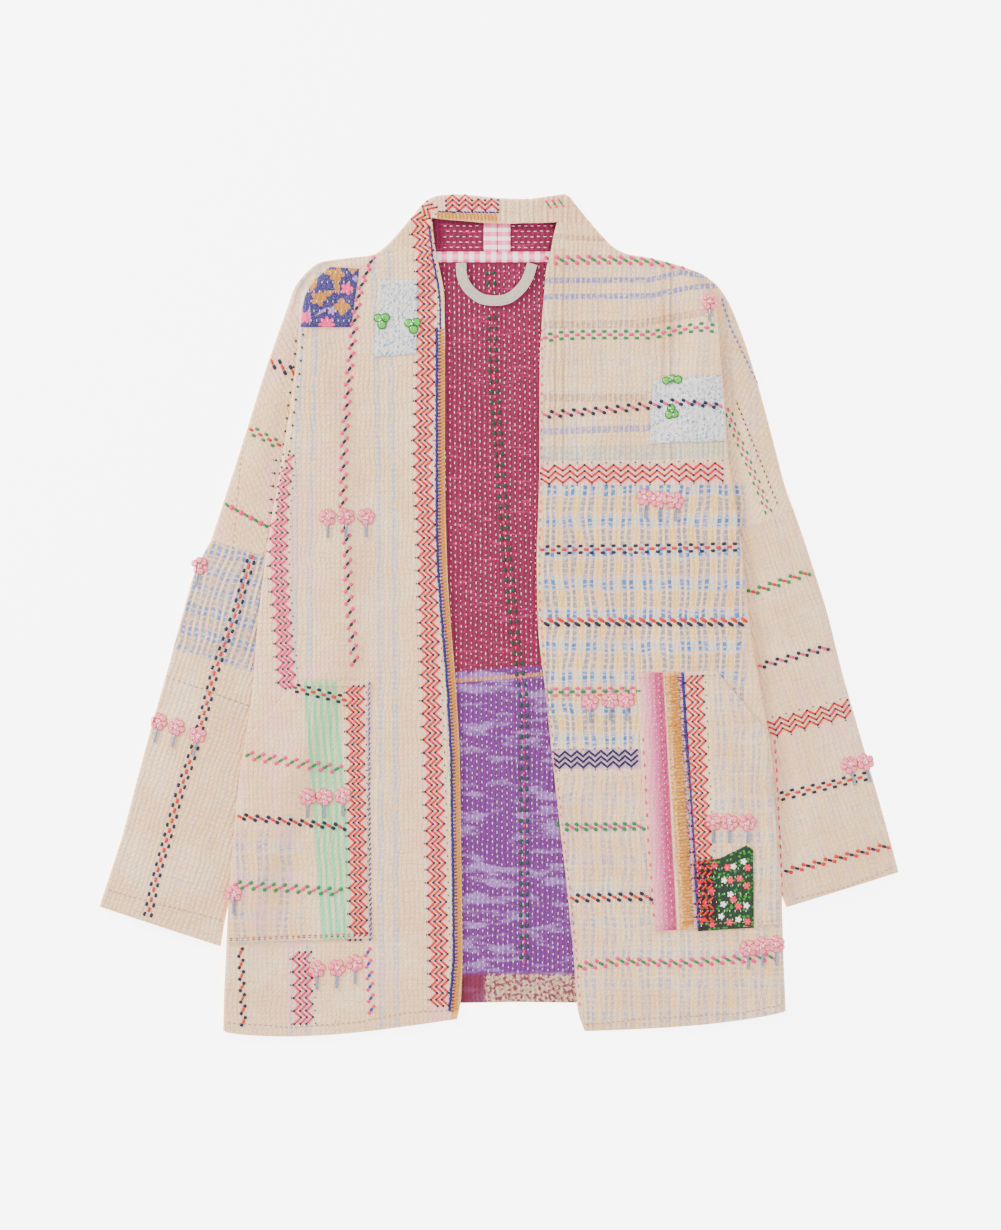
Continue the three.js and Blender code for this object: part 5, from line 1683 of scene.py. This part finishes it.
    def make(self):
        materials = [trims[name] for name in trimNames]
        return finishPiece(self.name, self.points, self.faces, materials, self.slots)


flowers = {
    # the middle of each flower, in the photograph's pixels
    "right_front_flowers": [(328, 517.5), (346.4, 517), (366.5, 517), (317, 969), (337, 967.6), (355, 963)],
    "right_sleeve_flowers": [(200, 566), (159, 721.5), (177, 727), (198, 735)],
    "right_pocket_flowers": [(308, 797), (324.5, 797), (343.4, 795.5), (234, 893)],
    "left_front_flowers": [(709.6, 302), (645, 497.6), (659, 500), (675, 501), (590, 702), (610, 700),
                           (626, 700), (748, 948), (762, 945), (776, 944)],
    "left_pocket_flowers": [(713, 822), (729, 822), (747, 822)],
    "left_sleeve_flowers": [(849, 765), (865, 762)],
}
ways = {"right_sleeve_flowers": (-0.22, 1.0), "left_sleeve_flowers": (0.3, 1.0)}
for name, places in flowers.items():
    trimming = Trimming(name)
    for x, y in places:
        trimming.flower(x, y, ways.get(name, (0.0, 1.0)))
    trimming.make()

trimming = Trimming("green_bead_flowers")
trimming.clover(382, 321, [(-3.5, -2.5, 3.8), (3.5, -3, 3.8), (0, 4, 4.0)])
trimming.clover(413, 325.6, [(-4, -2, 3.8), (3.5, -3, 3.6), (0.5, 4, 4.0)])
trimming.clover(672, 380, [(-6, 1, 3.4), (0, -1, 3.6), (6, 0, 3.6)])
trimming.clover(672, 412, [(-1, -3.5, 3.6), (2.5, 2, 3.6), (-3, 3, 3.6)])
trimming.make()
print("sequins and beads made")

floorFinish = bpy.data.materials.new("floor_white")
floorFinish.use_nodes = True
floorShader = floorFinish.node_tree.nodes["Principled BSDF"]
floorShader.inputs["Base Color"].default_value = (0.92, 0.92, 0.92, 1)
floorShader.inputs["Roughness"].default_value = 0.9
floorShader.inputs["Emission Color"].default_value = (1, 1, 1, 1)
floorShader.inputs["Emission Strength"].default_value = 5.0
floorMesh = bpy.data.meshes.new("floor")
floorMesh.from_pydata([(-3, -3, 0), (3, -3, 0), (3, 3, 0), (-3, 3, 0)], [], [(0, 1, 2, 3)])
floorMesh.materials.append(floorFinish)
floor = bpy.data.objects.new("floor", floorMesh)
bpy.context.scene.collection.objects.link(floor)

world = bpy.data.worlds.new("soft_white_room")
bpy.context.scene.world = world
world.use_nodes = True
world.node_tree.nodes["Background"].inputs[0].default_value = (1, 1, 1, 1)
world.node_tree.nodes["Background"].inputs[1].default_value = 1.9


def softLamp(name, place, size, power):
    lamp = bpy.data.lights.new(name, "AREA")
    lamp.energy, lamp.size = power, size
    holder = bpy.data.objects.new(name, lamp)
    bpy.context.scene.collection.objects.link(holder)
    holder.location = place
    holder.rotation_euler = (-Vector(place)).to_track_quat("-Z", "Y").to_euler()


softLamp("window_light", (-2.1, 1.4, 1.0), 0.8, 110.0)
softLamp("fill_light", (1.4, -0.9, 2.4), 2.0, 28.0)

cameraHeight = 6.0
camera = bpy.data.cameras.new("photo_camera")
camera.sensor_width = 36.0
camera.lens = camera.sensor_width * cameraHeight / (photo["height"] * photo["pixel"] / 1000)
cameraHolder = bpy.data.objects.new("photo_camera", camera)
bpy.context.scene.collection.objects.link(cameraHolder)
middle = toPlan([[photo["width"] / 2, photo["height"] / 2]])[0] / 1000
cameraHolder.location = (middle[0], middle[1], cameraHeight)
bpy.context.scene.camera = cameraHolder
print("floor, light and camera made")
